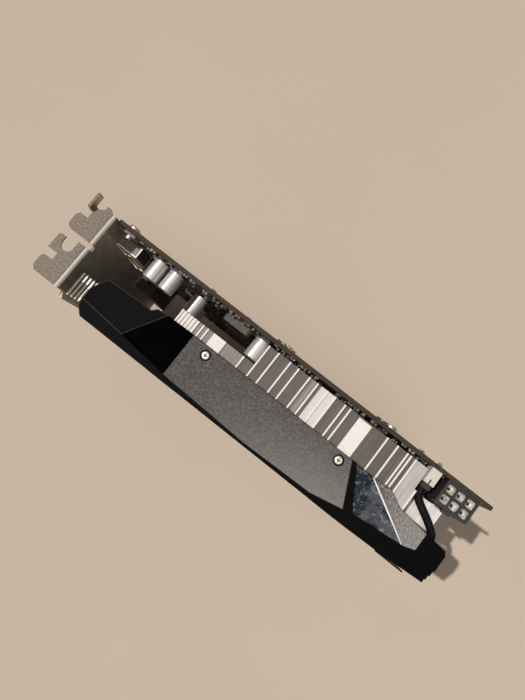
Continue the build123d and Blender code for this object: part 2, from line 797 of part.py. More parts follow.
def header_places():
    top = board_top - header_drop
    middle = top - header_length / 2
    return [middle + (i - (header_pins - 1) / 2) * header_pin_pitch for i in range(header_pins)]


def make_fan_header():
    top = board_top - header_drop
    low = board_thickness
    end = low + header_depth
    x0, x1 = header_start, header_start + header_width
    body = block(x0, x1, low, end, top - header_length, top)
    body -= block(x0 + header_wall, x1 - header_wall, low + 1.4, end + 1, top - header_length + header_wall,
                  top - header_wall)
    middle = header_middle()
    body -= block(middle - 0.3, middle + 0.3, end - 2.0, end + 1, top - header_wall - 1, top + 1)
    pins = []
    for z in header_places():
        body -= rod_out(header_middle(), z, 0, low + 2, header_pin_radius + pin_clearance)
        pins.append(rod_out(header_middle(), z, -1.4, end - 1.2, header_pin_radius))
        board_holes.append((header_middle(), z, header_pin_radius + pin_clearance))
    parts["fan_header"] = body
    parts["header_pins"] = group(pins)
    reserve(header_middle(), top - header_length / 2, header_width, header_length)


def plug_face():
    return board_thickness + header_depth + plug_stand_out


def make_fan_plug():
    top = board_top - header_drop - header_wall - 0.1
    bottom = board_top - header_drop - header_length + header_wall + 0.1
    x0, x1 = header_start + header_wall + 0.1, header_start + header_width - header_wall - 0.1
    body = block(x0, x1, board_thickness + 1.6, plug_face(), bottom, top)
    collar_start = board_thickness + header_depth + 0.2
    collar_end = header_start + header_width - 0.2
    body += block(header_start + 0.2, collar_end, collar_start, plug_face(), bottom + 0.3, top)
    for z in header_places():
        body -= rod_out(header_middle(), z, 0, board_thickness + header_depth,
                        header_pin_radius + pin_clearance)
    parts["fan_plug"] = body


def tube_along(points, diameter, name):
    """Straight runs joined by tangent arcs, each as large as its two runs allow."""
    corners = [Vector(x, -depth, z) for x, depth, z in points]
    radii = []
    for before, here, after in zip(corners, corners[1:], corners[2:]):
        turn = math.radians((here - before).get_angle(after - here))
        run = min((here - before).length, (after - here).length)
        radii.append(0.45 * run / math.tan(turn / 2))
    path = FilletPolyline(*corners, radius=radii)
    first = path.edges()[0]
    profile = Plane(origin=path @ 0, z_dir=path % 0) * Circle(diameter / 2)
    tube = sweep(profile, path=path)
    area = math.pi * diameter ** 2 / 4
    print(name, "length", round(path.length, 1), "radii", [round(r, 1) for r in radii],
          "volume ratio", round(tube.volume / (area * path.length), 4), "first run", round(first.length, 1))
    return tube


lead_seat = mount_back - lead_drop
fan_lead_route = [(152.3, 9.8, 111.4), (152.3, 12.0, 111.4), (153.9, 14.3, 111.5), (157.6, 16.4, 111.7),
                  (161.4, 18.6, 111.7), (164.9, 20.9, 111.2), (167.0, 22.6, 108.4), (167.4, 23.1, 103.6),
                  (166.3, 23.1, 97.8), (162.6, 23.1, 90.8), (156.4, lead_seat, 82.2),
                  (151.6, lead_seat, 76.6),
                  (147.0, lead_seat, 74.0), (141.4, lead_seat, 74.0)]


def make_fan_lead():
    parts["fan_lead"] = tube_along(fan_lead_route, fan_lead_diameter, "fan_lead")


# ---- shroud ----
def set_back(line):
    """Turns (distance, setback from the front face) points into (x, depth) points.

    A distance counts from the shroud's start, or back from its end where it is below zero.
    """
    return [((shroud_end if distance < 0 else shroud_start) + distance, front_depth - setback)
            for distance, setback in line]


shroud_length = shroud_end - shroud_start
skirt_inner_edge = set_back([(0, left_wall_width), (3.6, 17.8), (18.0, 18.5), (23.4, 18.5), (25.2, 20.4),
                             (30.1, 20.8), (41.8, 21.1), (-45.9, 20.9), (-44.1, 20.9), (-36.4, 20.7),
                             (-28.8, 21.3), (-22.8, 18.0), (-9.5, 16.4), (-1.2, 15.7), (shroud_length, 14.2)])
skirt_outer_edge = set_back([(0, 5.9), (20.6, 4.4), (41.9, 2.4), (shroud_length / 2, 1.2), (-51.2, 2.0),
                             (-38.2, 4.7), (-35.0, 5.6), (-14.1, 7.7), (-9.5, 9.3), (shroud_length, 7.4)])
first_step_edge = set_back([(0, 4.2), (20.6, 2.4), (41.9, 1.4), (shroud_length / 2, 0.7), (-51.3, 1.2),
                            (-37.9, 3.1), (-21.3, 4.4), (shroud_length, 5.2)])
second_step_edge = set_back([(0, 3.0), (20.6, 1.0), (41.9, 0.6), (shroud_length / 2, 0.3), (-51.3, 0.5),
                             (-38.7, 1.3), (-20.3, 2.4), (shroud_length, 3.3)])
front_edge = set_back([(0, front_bevel), (front_bevel, 0), (-39.3, 0), (-18.9, 0.4),
                       (shroud_length, tail_setback)])
front_inner_edge = set_back([(wall, left_wall_width), (wall, front_bevel + wall * 0.2), (wall + 1.0, wall),
                             (-39.3, wall), (-18.9, 0.4 + wall), (-wall, tail_setback + wall * 0.9),
                             (-wall, tail_wall_width)])


def between(inner, outer):
    """Closed outline of a band of the skirt, from its inner points and its outer points."""
    return inner + outer[::-1]


front_panel = between(skirt_inner_edge[0:6], skirt_outer_edge[0:2])
front_insert = between(skirt_inner_edge[5:7], skirt_outer_edge[1:3])
main_panel = between(skirt_inner_edge[6:8], skirt_outer_edge[2:6])
dividing_stripe = between(skirt_inner_edge[7:9], skirt_outer_edge[5:7])
rear_insert = between(skirt_inner_edge[8:10], skirt_outer_edge[6:8])
tail_panel = between(skirt_inner_edge[9:13], skirt_outer_edge[7:9])
tail_cap = between(skirt_inner_edge[12:15], skirt_outer_edge[8:10])


def skirt():
    """Upper edge of the shroud: a seat for the panels, and three ridges that step down to the front."""
    seat = skirt_top - panel_recess
    pieces = [prism_up(between(skirt_inner_edge, skirt_outer_edge), skirt_top - skirt_thickness, seat),
              prism_up(dividing_stripe, seat - overlap, skirt_top),
              prism_up(tail_cap, seat - overlap, skirt_top)]
    lines = [skirt_outer_edge, first_step_edge, second_step_edge, front_edge]
    for number in range(1, 4):
        level = skirt_top - number * step_drop
        inner = [(x, depth - skirt_thickness) for x, depth in lines[number - 1]]
        pieces.append(prism_up(between(inner, lines[number]), level - skirt_thickness, level))
    body = fused(pieces)
    for x in post_spots:
        body -= rod_up(x, shroud_screw_depth, skirt_top - 10, skirt_top + 1, shroud_screw_shank + 0.25)
    return body


def flipped(shape):
    return mirror(shape, about=Plane.XY.offset(skirt_middle))


def both_sides(shape):
    return [shape, flipped(shape)]


def make_shroud():
    wall_top = skirt_top - 3 * step_drop
    wall_bottom = 2 * skirt_middle - wall_top
    ends = set_back([(0, left_wall_width), (shroud_length, tail_wall_width)])
    frame = prism_up(between(front_inner_edge, [ends[0]] + front_edge + [ends[1]]), wall_bottom, wall_top)
    upper = skirt()
    left_cap = set_back([(0, left_wall_width), (wall, left_wall_width), (wall, 5.0), (0, 5.0)])
    tail_cap_wall = set_back([(-wall, tail_wall_width), (shroud_length, tail_wall_width - 0.6),
                              (shroud_length, 5.6), (-wall, 5.6)])
    end_caps = [prism_up(outline, wall_top - 1, skirt_underside + 0.5)
                for outline in (left_cap, tail_cap_wall)]
    pieces = [frame, upper, flipped(upper)]
    for cap in end_caps:
        pieces += both_sides(cap)
    for x in fan_centres:
        pieces.append(rod_out(x, skirt_middle, duct_back, front_depth - wall * 0.5, duct_radius + duct_wall))
        for bx, bz in mount_screw_places(x):
            pieces.append(rod_out(bx, bz, duct_back, front_depth - wall - 0.5, mount_boss_radius))
    body = fused(pieces)
    for x in fan_centres:
        body -= rod_out(x, skirt_middle, 20, front_depth + 5, duct_radius)
        for bx, bz in mount_screw_places(x):
            body -= rod_out(bx, bz, duct_back - 1, duct_back + 7.4, mount_screw_radius + fit_gap)
    parts["shroud"] = body


def laid_panel(outline, name):
    whole = Polygon(*[(x, -depth) for x, depth in outline], align=None)
    face = offset(whole, amount=-panel_clearance, kind=Kind.INTERSECTION)
    panel = Pos(0, 0, skirt_top - panel_recess) * extrude(face, amount=panel_thickness, dir=(0, 0, 1))
    panel = chamfer(panel.edges().group_by(Axis.Z)[-1], 0.25)
    for x in post_spots:
        panel -= rod_up(x, shroud_screw_depth, skirt_top - 10, skirt_top + 5, counterbore_radius)
    parts[name] = group(both_sides(panel))


def make_panels():
    laid_panel(front_panel, "front_panels")
    laid_panel(front_insert, "front_gloss_inserts")
    laid_panel(main_panel, "main_panels")
    laid_panel(rear_insert, "rear_gloss_inserts")
    laid_panel(tail_panel, "tail_panels")


def make_shroud_screws():
    screws = []
    for x in post_spots:
        seat = skirt_top - panel_recess
        depth = shroud_screw_depth
        head = rod_up(x, depth, seat, seat + shroud_screw_head_height, shroud_screw_head_radius)
        head = fillet(head.edges().sort_by(Axis.Z)[-1], 0.6)
        top = seat + shroud_screw_head_height
        cross = [block(x - a, x + a, depth - b, depth + b, top - 0.8, top + 1)
                 for a, b in ((0.95, 0.22), (0.22, 0.95))]
        shank = rod_up(x, depth, heatsink_top - shroud_screw_length + 0.8, seat, shroud_screw_shank)
        screws += both_sides(head - cross + shank)
    parts["shroud_screws"] = group(screws)


def make_front_trim():
    """Thin raised rings around the two air inlets, and gloss wedges at the corners and between the fans."""
    raised = front_depth + trim_thickness
    rings = [tube_out(x, skirt_middle, front_depth, raised, duct_radius + bezel_width, duct_radius)
             for x in fan_centres]
    parts["fan_bezels"] = group(rings)
    middle = sum(fan_centres) / 2
    reach = duct_radius + bezel_width + 1.2
    wedges = []
    top = skirt_top - 3 * step_drop - wedge_drop
    for side in (-1, 1):
        centre = middle + side * fan_pitch / 2
        end = middle + side * (shroud_end - shroud_start) / 2
        corner = [(end - side * 4.2, top), (end - side * 17.0, top), (end - side * 9.4, top - 16.0),
                  (end - side * 4.2, top - 22.0)]
        inner = [(middle + side * 1.0, top), (middle + side * 24.0, top), (middle + side * 9.0, top - 23.0),
                 (middle + side * 1.0, top - 31.0)]
        for outline in (corner, inner):
            wedge = prism_out(outline, front_depth, raised)
            wedge -= rod_out(centre, skirt_middle, 0, 2 * raised, reach)
            wedges += both_sides(wedge)
    parts["front_wedges"] = group(wedges)


# ---- fans ----
def mount_screw_places(x):
    return [(x + mount_screw_circle * math.cos(math.radians(a)),
             skirt_middle + mount_screw_circle * math.sin(math.radians(a))) for a in (90, 210, 330)]


def blade():
    """One twisted blade about the local Z axis, with its front towards +Z."""
    middle = (hub_back + hub_front) / 2
    reach = blade_tip_radius - hub_radius
    sections = []
    for share, chord, pitch_angle in ((-0.05, 9.6, 46), (0.35, 12.8, 38), (0.7, 15.4, 32), (1.08, 16.4, 27)):
        radius = hub_radius + share * reach
        sweep_angle = 20 * share * share
        plane = Plane(origin=(0, 0, 0), x_dir=(0, 1, 0), z_dir=(1, 0, 0))
        section = Pos(0, 0, radius) * Rot(0, 0, pitch_angle) * Rectangle(chord, blade_thickness)
        sections.append(Rot(0, 0, sweep_angle) * (plane * section))
    body = loft(sections)
    return Pos(0, 0, middle) * body


def make_impeller(x, name):
    hub = Pos(0, 0, hub_back) * extrude(Circle(hub_radius), amount=hub_front - hub_back)
    hub = fillet(hub.edges().sort_by(Axis.Z)[-1], 1.2)
    blades = [Rot(0, 0, 360 * i / blade_count) * blade() for i in range(blade_count)]
    limit = Pos(0, 0, hub_back) * extrude(Circle(blade_tip_radius), amount=hub_front - hub_back)
    rotor = fused([hub] + blades) & limit
    cup = hub_radius - hub_wall
    rotor -= Pos(0, 0, hub_back - 1) * extrude(Circle(cup), amount=hub_front - hub_wall - hub_back + 1)
    boss_length = hub_front - bearing_front - 0.6 - 0.4
    rotor += Pos(0, 0, bearing_front + 0.6) * extrude(Circle(2.4), amount=boss_length)
    bore_length = hub_front - hub_wall - hub_back + 0.6
    rotor -= Pos(0, 0, hub_back) * extrude(Circle(shaft_radius + fit_gap), amount=bore_length)
    parts[name + "_impeller"] = Plane.XZ * Pos(x, skirt_middle, 0) * rotor
    iron_outer = cup - fit_gap
    iron_inner = iron_outer - back_iron_thickness
    front = hub_front - hub_wall - 0.1
    parts[name + "_back_iron"] = tube_out(x, skirt_middle, hub_back, front, iron_outer, iron_inner)
    magnet_outer = iron_inner - fit_gap
    parts[name + "_magnet"] = tube_out(x, skirt_middle, hub_back + 0.2, front - 0.6, magnet_outer,
                                       magnet_outer - magnet_thickness)
    shaft_end = hub_front - hub_wall + 0.5
    parts[name + "_shaft"] = rod_out(x, skirt_middle, mount_back + 1.2, shaft_end, shaft_radius)
    cap = rod_out(x, skirt_middle, hub_front, hub_front + 0.3, hub_radius - 2.6)
    parts[name + "_hub_cap"] = cap


def stator_radius():
    return hub_radius - hub_wall - back_iron_thickness - magnet_thickness - 2 * fit_gap - motor_gap


def lead_clip():
    """Block under the motor plate that the lead ends in."""
    end_x, depth, z = fan_lead_route[-1]
    half = fan_lead_diameter / 2 + lead_clip_wall
    return block(end_x - lead_clip_length, end_x, depth - half, mount_back, z - half, z + half)


def make_motor_side():
    bearings, stators, coils, boards, screws = [], [], [], [], []
    tube_outer = bearing_radius + bearing_tube_wall
    for x, name in zip(fan_centres, ("left_fan", "right_fan")):
        z = skirt_middle
        plate = rod_out(x, z, mount_back, duct_back, hub_radius)
        pieces = [plate, rod_out(x, z, duct_back, bearing_front + 0.2, tube_outer)]
        for sx, sz in mount_screw_places(x):
            angle = math.degrees(math.atan2(sz - z, sx - x))
            arm = Box(mount_screw_circle, mount_arm_width, mount_thickness)
            arm = Pos(mount_screw_circle / 2, 0, 0) * arm
            pieces.append(Plane.XZ * Pos(x, z, (mount_back + duct_back) / 2) * Rot(0, 0, angle) * arm)
            pieces.append(rod_out(sx, sz, mount_back, duct_back, mount_boss_radius))
        if name == "right_fan":
            pieces.append(lead_clip())
        body = fused(pieces)
        body -= rod_out(x, z, mount_back + 0.8, bearing_front + 1, bearing_radius)
        for sx, sz in mount_screw_places(x):
            body -= rod_out(sx, sz, mount_back - 1, duct_back + 1, mount_screw_radius + 0.15)
            head = rod_out(sx, sz, mount_back - 1.3, mount_back, 1.9)
            cross = [block(sx - a, sx + a, mount_back - 2, mount_back - 0.6, sz - b, sz + b)
                     for a, b in ((1.1, 0.22), (0.22, 1.1))]
            screws.append(head - cross + rod_out(sx, sz, mount_back, duct_back + 6.8, mount_screw_radius))
        parts[name + "_mount"] = body
        bearings.append(tube_out(x, z, mount_back + 0.9, bearing_front, bearing_radius - fit_gap,
                                 shaft_radius + bearing_clearance))
        low = duct_back + motor_board_thickness + 0.9
        boards.append(tube_out(x, z, duct_back, duct_back + motor_board_thickness, motor_board_radius,
                               tube_outer + fit_gap))
        core = [rod_out(x, z, low, low + stator_thickness, 5.2)]
        shoe = tube_out(x, z, low, low + stator_thickness, stator_radius(), stator_radius() - 1.3)
        for quarter in range(4):
            tooth = Box(stator_radius() - 0.6, 2.6, stator_thickness)
            place = Plane.XZ * Pos(x, z, low + stator_thickness / 2) * Rot(0, 0, 45 + 90 * quarter)
            core.append(place * Pos((stator_radius() - 0.6) / 2, 0, 0) * tooth)
            coil = Box(2.4, 5.8, stator_thickness + 1.2)
            coil -= Box(2.4, 2.6 + 2 * fit_gap, stator_thickness + 2 * fit_gap)
            coils.append(place * Pos(6.6, 0, 0) * coil)
        body = fused(core + [shoe])
        body -= rod_out(x, z, low - 1, low + stator_thickness + 1, tube_outer + fit_gap)
        for quarter in range(4):
            gap = Plane.XZ * Pos(x, z, low + stator_thickness / 2) * Rot(0, 0, 90 * quarter)
            body -= gap * Pos(stator_radius() - 0.8, 0, 0) * Box(3.0, 1.6, stator_thickness + 1)
        stators.append(body)
    parts["fan_bearings"] = group(bearings)
    parts["stator_cores"] = group(stators)
    parts["stator_coils"] = group(coils)
    parts["motor_boards"] = group(boards)
    parts["fan_screws"] = group(screws)


# ---- circuit board ----
def make_edge_contacts():
    pads = []
    z0 = board_low + 1.2
    short_start = edge_tab_start
    long_start = short_start + edge_tab_short + edge_tab_key
    for start, length in ((short_start, edge_tab_short), (long_start, edge_tab_long)):
        count = int((length - 0.3) / contact_pitch)
        margin = (length - (count - 1) * contact_pitch) / 2
        for i in range(count):
            x = start + margin + i * contact_pitch
            half = contact_width / 2
            for depth in (-contact_thickness, board_thickness):
                pads.append(block(x - half, x + half, depth, depth + contact_thickness, z0,
                                  z0 + contact_length))
    parts["edge_contacts"] = group(pads)


def make_board():
    short_end = edge_tab_start + edge_tab_short
    long_start = short_end + edge_tab_key
    long_end = long_start + edge_tab_long
    foot = long_end + 3.8
    outline = [(board_start, board_bottom), (edge_tab_start - 1.0, board_bottom),
               (edge_tab_start, board_bottom - 1.0),
               (edge_tab_start, board_low), (short_end, board_low), (short_end, board_bottom - 0.6),
               (long_start, board_bottom - 0.6), (long_start, board_low), (long_end, board_low),
               (long_end, board_bottom - 1.0), (foot, board_bottom - 1.0), (foot, board_bottom - 4.2),
               (foot - 1.6, board_bottom - 4.2), (foot - 1.6, board_bottom - 6.2),
               (foot + 3.6, board_bottom - 6.2), (foot + 3.6, board_bottom), (board_end, board_bottom),
               (board_end, board_top), (board_start, board_top)]
    board = prism_out(outline, 0, board_thickness)
    for depth, sign in ((0, 1), (board_thickness, -1)):
        bevel = [(depth - sign * 0.1, board_low - 0.1), (depth + sign * 0.45, board_low - 0.1),
                 (depth - sign * 0.1, board_low + 1.1)]
        board -= prism_along(bevel, edge_tab_start - 1, long_end + 1)
    holes = [rod_out(x, z, -1, board_thickness + 1, radius) for x, z, radius in board_holes]
    parts["circuit_board"] = board - holes


# ---- origin and files ----
def export_all():
    whole = Compound(children=[solid for shape in parts.values() for solid in shape.solids()])
    box = whole.bounding_box()
    shift = Pos(-(box.min.X + box.max.X) / 2, -(box.min.Y + box.max.Y) / 2, -box.min.Z)
    print("shift", [round(v, 4) for v in shift.position], "size", [round(v, 3) for v in box.size])
    os.makedirs("parts", exist_ok=True)
    for name, shape in parts.items():
        export_step(shift * shape, "parts/" + name + ".step")
    print(len(parts), "nodes")


make_bracket()
make_bracket_screws()
slim_port("hdmi", hdmi_width, hdmi_height, hdmi_length, hdmi_middle(), 0.72)
slim_port("displayport", displayport_width, displayport_height, displayport_length, displayport_middle(), 0.8)
make_dvi()
make_jack_posts()
make_processor()
make_memory()
make_power_stage()
make_cans()
make_cooler_screws()
make_power_socket()
make_fan_header()
make_fan_plug()
make_control_chips()
make_small_parts()
make_heatsink()
make_fan_lead()
make_shroud()
make_panels()
make_shroud_screws()
make_front_trim()
for fan_x, fan_name in zip(fan_centres, ("left_fan", "right_fan")):
    make_impeller(fan_x, fan_name)
make_motor_side()
make_edge_contacts()
make_board()
export_all()
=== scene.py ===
import math

import bmesh
import bpy
from mathutils import Matrix, Vector, noise as wobble


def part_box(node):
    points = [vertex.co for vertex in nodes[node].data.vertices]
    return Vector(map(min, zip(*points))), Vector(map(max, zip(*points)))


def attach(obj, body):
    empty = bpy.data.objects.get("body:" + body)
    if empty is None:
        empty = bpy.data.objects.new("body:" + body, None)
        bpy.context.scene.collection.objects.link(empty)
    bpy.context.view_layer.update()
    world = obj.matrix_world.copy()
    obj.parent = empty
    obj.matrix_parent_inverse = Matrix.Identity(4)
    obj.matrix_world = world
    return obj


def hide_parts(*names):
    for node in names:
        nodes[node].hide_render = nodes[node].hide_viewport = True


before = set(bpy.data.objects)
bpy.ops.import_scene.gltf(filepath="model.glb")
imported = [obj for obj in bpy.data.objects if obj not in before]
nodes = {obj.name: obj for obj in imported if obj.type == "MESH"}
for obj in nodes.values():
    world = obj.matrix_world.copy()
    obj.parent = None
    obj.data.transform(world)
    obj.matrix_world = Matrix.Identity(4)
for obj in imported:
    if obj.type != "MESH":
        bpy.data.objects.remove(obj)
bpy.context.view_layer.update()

# ---------------------------------------------------------------------------------------------------
# Camera. It looks almost straight down on the card's long top edge, a hand's reach above it, with the
# bracket at the left and the fan side towards the lower left.
# ---------------------------------------------------------------------------------------------------


def put_in_scene(name, data):
    """An object of the given data, linked to the scene."""
    thing = bpy.data.objects.new(name, data)
    bpy.context.scene.collection.objects.link(thing)
    return thing


camera_place = Vector((0.007315, -0.0073, 0.30972))
camera_right = Vector((0.7871, 0.6168, 0.0009)).normalized()
camera_back = Vector((0.0726, -0.0942, 0.9929)).normalized()
camera_up = camera_back.cross(camera_right)
camera_data = bpy.data.cameras.new("camera")
camera_data.sensor_fit = "VERTICAL"
camera_data.sensor_height = 36.0
camera_data.lens = 27.05
camera_data.clip_start = 0.01
camera = put_in_scene("camera", camera_data)
camera.matrix_world = Matrix.Translation(camera_place) @ Matrix(
    (camera_right, camera_up, camera_back)).transposed().to_4x4()
bpy.context.scene.camera = camera

# ---------------------------------------------------------------------------------------------------
# Fan lead. Thin wires in a soft black woven sleeve, from the header's plug over the end of the heatsink
# and under the shroud's edge to a clip on the motor mount of the fan beside it.
# ---------------------------------------------------------------------------------------------------


def link(material, output, target):
    material.node_tree.links.new(output, target)


def shader_of(material):
    """The shader that a finish ends in."""
    return material.node_tree.nodes["Principled BSDF"]


def place_on_piece(material, stretch=(1.0, 1.0, 1.0)):
    """The point on the piece, in metres, stretched along its axes."""
    tree = material.node_tree
    where = tree.nodes.new("ShaderNodeTexCoord")
    mapping = tree.nodes.new("ShaderNodeMapping")
    mapping.inputs["Scale"].default_value = stretch
    link(material, where.outputs["Object"], mapping.inputs["Vector"])
    return mapping.outputs["Vector"]


def grain(material, vector, scale, detail=3.0, roughness=0.55):
    """A wandering value about 0.5, finer as the scale grows."""
    texture = material.node_tree.nodes.new("ShaderNodeTexNoise")
    texture.inputs["Scale"].default_value = scale
    texture.inputs["Detail"].default_value = detail
    texture.inputs["Roughness"].default_value = roughness
    link(material, vector, texture.inputs["Vector"])
    return texture.outputs["Fac"]


def shade_between(material, value, dark, light, start=0.35, end=0.65):
    """A colour that goes from dark to light as the value goes from start to end."""
    node = material.node_tree.nodes.new("ShaderNodeValToRGB")
    first, last = node.color_ramp.elements
    first.position = start
    first.color = (*dark, 1.0)
    last.position = end
    last.color = (*light, 1.0)
    link(material, value, node.inputs["Fac"])
    return node.outputs["Color"]


def spread(material, value, low, high, start=0.35, end=0.65):
    """A number that goes from low to high as the value goes from start to end."""
    node = material.node_tree.nodes.new("ShaderNodeMapRange")
    node.inputs["From Min"].default_value = start
    node.inputs["From Max"].default_value = end
    node.inputs["To Min"].default_value = low
    node.inputs["To Max"].default_value = high
    link(material, value, node.inputs["Value"])
    return node.outputs["Result"]


def relief(material, height, depth, strength=0.5):
    """Small bumps, depth metres high, on a finish."""
    node = material.node_tree.nodes.new("ShaderNodeBump")
    node.inputs["Strength"].default_value = strength
    node.inputs["Distance"].default_value = depth
    link(material, height, node.inputs["Height"])
    link(material, node.outputs["Normal"], shader_of(material).inputs["Normal"])


def finish(name, dark, light, rough=(0.4, 0.5), metal=0.0, shine=0.5, scale=900.0, stretch=(1, 1, 1),
           bumps=0.0):
    """A surface whose colour and roughness wander between two values, with an optional fine relief."""
    material = bpy.data.materials.new(name)
    material.use_nodes = True
    shader = shader_of(material)
    shader.inputs["Metallic"].default_value = metal
    shader.inputs["Specular IOR Level"].default_value = shine
    value = grain(material, place_on_piece(material, stretch), scale)
    link(material, shade_between(material, value, dark, light), shader.inputs["Base Color"])
    link(material, spread(material, value, *rough), shader.inputs["Roughness"])
    if bumps:
        relief(material, value, bumps)
    return material


lead_width = 0.0030
lead_route = [(0.07042, 0.0076, 0.1114), (0.07042, 0.0054, 0.1114), (0.07202, 0.0031, 0.1115),
              (0.07572, 0.0010, 0.1117), (0.07952, -0.0012, 0.1117), (0.08302, -0.0035, 0.1112),
              (0.08512, -0.0052, 0.1084), (0.08552, -0.0057, 0.1036), (0.08442, -0.0057, 0.0978),
              (0.08072, -0.0057, 0.0908), (0.07452, -0.0056, 0.0822), (0.06972, -0.0056, 0.0766),
              (0.06512, -0.0056, 0.0740), (0.05952, -0.0056, 0.0740)]
lead_curve = bpy.data.curves.new("woven_fan_lead", "CURVE")
lead_curve.dimensions = "3D"
lead_curve.bevel_depth = lead_width / 2
lead_curve.bevel_resolution = 5
lead_curve.resolution_u = 10
lead_curve.use_fill_caps = True
lead_line = lead_curve.splines.new("NURBS")
lead_line.points.add(len(lead_route) - 1)
for point, place in zip(lead_line.points, lead_route):
    point.co = (*place, 1.0)
lead_line.order_u = 3
lead_line.use_endpoint_u = True
woven_lead = put_in_scene("woven_fan_lead", lead_curve)
woven_sleeve = finish("woven_sleeve", (0.0015, 0.0015, 0.002), (0.009, 0.009, 0.010), (0.55, 0.7),
                      shine=0.15, scale=2600.0, bumps=0.00015)
lead_curve.materials.append(woven_sleeve)
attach(woven_lead, "card")
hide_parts("fan_lead")

# ---------------------------------------------------------------------------------------------------
# Circuit board. A dark four-layer glass-epoxy board, routed to shape, with a satin solder mask over
# its copper. The raw routed edge shows brown. Every other piece is soldered or screwed to it.
# ---------------------------------------------------------------------------------------------------


def dress(material, *names):
    """Gives CAD nodes their finish."""
    for name in names:
        mesh = nodes[name].data
        mesh.materials.clear()
        mesh.materials.append(material)


def finish_faces(material, name, chosen):
    """Gives the chosen faces of a CAD node a finish of their own."""
    mesh = nodes[name].data
    mesh.materials.append(material)
    for face in mesh.polygons:
        if chosen(face):
            face.material_index = len(mesh.materials) - 1


board_back = 0.0174
board_front = 0.0158
board_mask = finish("board_mask", (0.030, 0.025, 0.018), (0.050, 0.042, 0.030), (0.4, 0.55), shine=0.35,
                    scale=90.0)
board_traces = board_mask.node_tree.nodes.new("ShaderNodeTexBrick")
board_traces.inputs["Scale"].default_value = 260.0
board_traces.inputs["Mortar Size"].default_value = 0.012
board_traces.inputs["Color1"].default_value = (0.042, 0.036, 0.026, 1)
board_traces.inputs["Color2"].default_value = (0.070, 0.061, 0.045, 1)
board_traces.inputs["Mortar"].default_value = (0.022, 0.018, 0.013, 1)
board_turn = board_mask.node_tree.nodes.new("ShaderNodeMapping")
board_turn.inputs["Rotation"].default_value = (math.radians(90), 0, 0)
link(board_mask, place_on_piece(board_mask), board_turn.inputs["Vector"])
link(board_mask, board_turn.outputs["Vector"], board_traces.inputs["Vector"])
link(board_mask, board_traces.outputs["Color"], shader_of(board_mask).inputs["Base Color"])
relief(board_mask, board_traces.outputs["Fac"], depth=0.00004, strength=0.25)
dress(board_mask, "circuit_board")
routed_edge = finish("routed_edge", (0.030, 0.021, 0.013), (0.075, 0.055, 0.036), (0.6, 0.8), shine=0.2,
                     scale=500.0, stretch=(1, 6, 1))
finish_faces(routed_edge, "circuit_board", lambda face: abs(face.normal.y) < 0.5)

# ---------------------------------------------------------------------------------------------------
# Edge contacts. Copper pads plated with hard gold on both faces of the edge connector. The plating
# wanders slightly along each pad.
# ---------------------------------------------------------------------------------------------------
hard_gold = finish("hard_gold", (0.78, 0.53, 0.17), (0.90, 0.66, 0.28), (0.2, 0.4), metal=1.0, scale=2400.0,
                   stretch=(1, 1, 0.15))
dress(hard_gold, "edge_contacts")

# ---------------------------------------------------------------------------------------------------
# Slot bracket. One millimetre steel, punched, folded at the tabs and nickel plated. Handling has worn
# its tabs mottled. Painted highlights lie on its folds and the vents' lower edges. Two screws hold its
# lugs.
# ---------------------------------------------------------------------------------------------------
bend_start = -0.08190
bend_end = -0.08075
bend_low = 0.1178
plate_start = -0.0820
plate_end = -0.0808
vents_low = 0.06
vents_high = 0.112
nickel_plate = finish("nickel_plate", (0.36, 0.32, 0.27), (0.52, 0.47, 0.41), (0.34, 0.46), metal=0.85,
                      scale=300.0, bumps=0.00001)
rubbed_nickel = finish("rubbed_nickel", (0.070, 0.054, 0.043), (0.290, 0.240, 0.195), (0.5, 0.68), metal=0.2,
                       shine=0.3, scale=1500.0, bumps=0.00002)
# Pale cream painted highlight on the tabs' folds, the vents' lower edges and the HDMI shell's edges.
painted_edge_highlight = finish("painted_edge_highlight", (0.93, 0.91, 0.74), (0.99, 0.97, 0.84), (0.5, 0.6), scale=900.0)
dress(nickel_plate, "io_bracket")


def on_fold_or_vent(face):
    """True on the tabs' folds and on the vents' lower edges."""
    middle = face.center
    fold = bend_start < middle.x < bend_end and middle.z > bend_low and face.normal.z > 0.05
    vent = plate_start < middle.x < plate_end and vents_low < middle.z < vents_high and face.normal.z > 0.6
    return fold or vent


finish_faces(rubbed_nickel, "io_bracket", lambda face: abs(face.normal.z) > 0.95)
finish_faces(painted_edge_highlight, "io_bracket", on_fold_or_vent)
screw_nickel = finish("screw_nickel", (0.42, 0.40, 0.36), (0.60, 0.57, 0.52), (0.3, 0.45), metal=0.9,
                      scale=1600.0)
dress(screw_nickel, "bracket_screws", "dvi_jack_posts", "cooler_screws")

# ---------------------------------------------------------------------------------------------------
# Ports. Folded plated-steel shells, soldered to the board, each round a moulded tongue with gold
# contacts and with stamped springs. Painted highlight strips run along the HDMI shell's edges, and the
# shells' broad flat walls are a darker copy of the steel in painted shade. The lowest port's body is
# moulded in black.
# ---------------------------------------------------------------------------------------------------


def new_piece(shape, name, material, body):
    """Turns a mesh under construction into a piece that rides on a body."""
    mesh = bpy.data.meshes.new(name)
    shape.to_mesh(mesh)
    shape.free()
    mesh.materials.append(material)
    piece = put_in_scene(name, mesh)
    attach(piece, body)


def loft(shape, rings, closed=True):
    """Skins a row of rings that have the same number of points, and closes both ends."""
    rows = [[shape.verts.new(point) for point in ring] for ring in rings]
    count = len(rows[0])
    for row, after in zip(rows, rows[1:]):
        for i in range(count):
            j = (i + 1) % count
            shape.faces.new((row[i], row[j], after[j], after[i]))
    if closed:
        shape.faces.new(rows[0][::-1])
        shape.faces.new(rows[-1])


def strip(shape, low, high):
    """A flat-sided bar between two corners."""
    x0, y0, z0 = low
    x1, y1, z1 = high
    loft(shape, [[(x, y0, z0), (x, y1, z0), (x, y1, z1), (x, y0, z1)] for x in (x0, x1)])


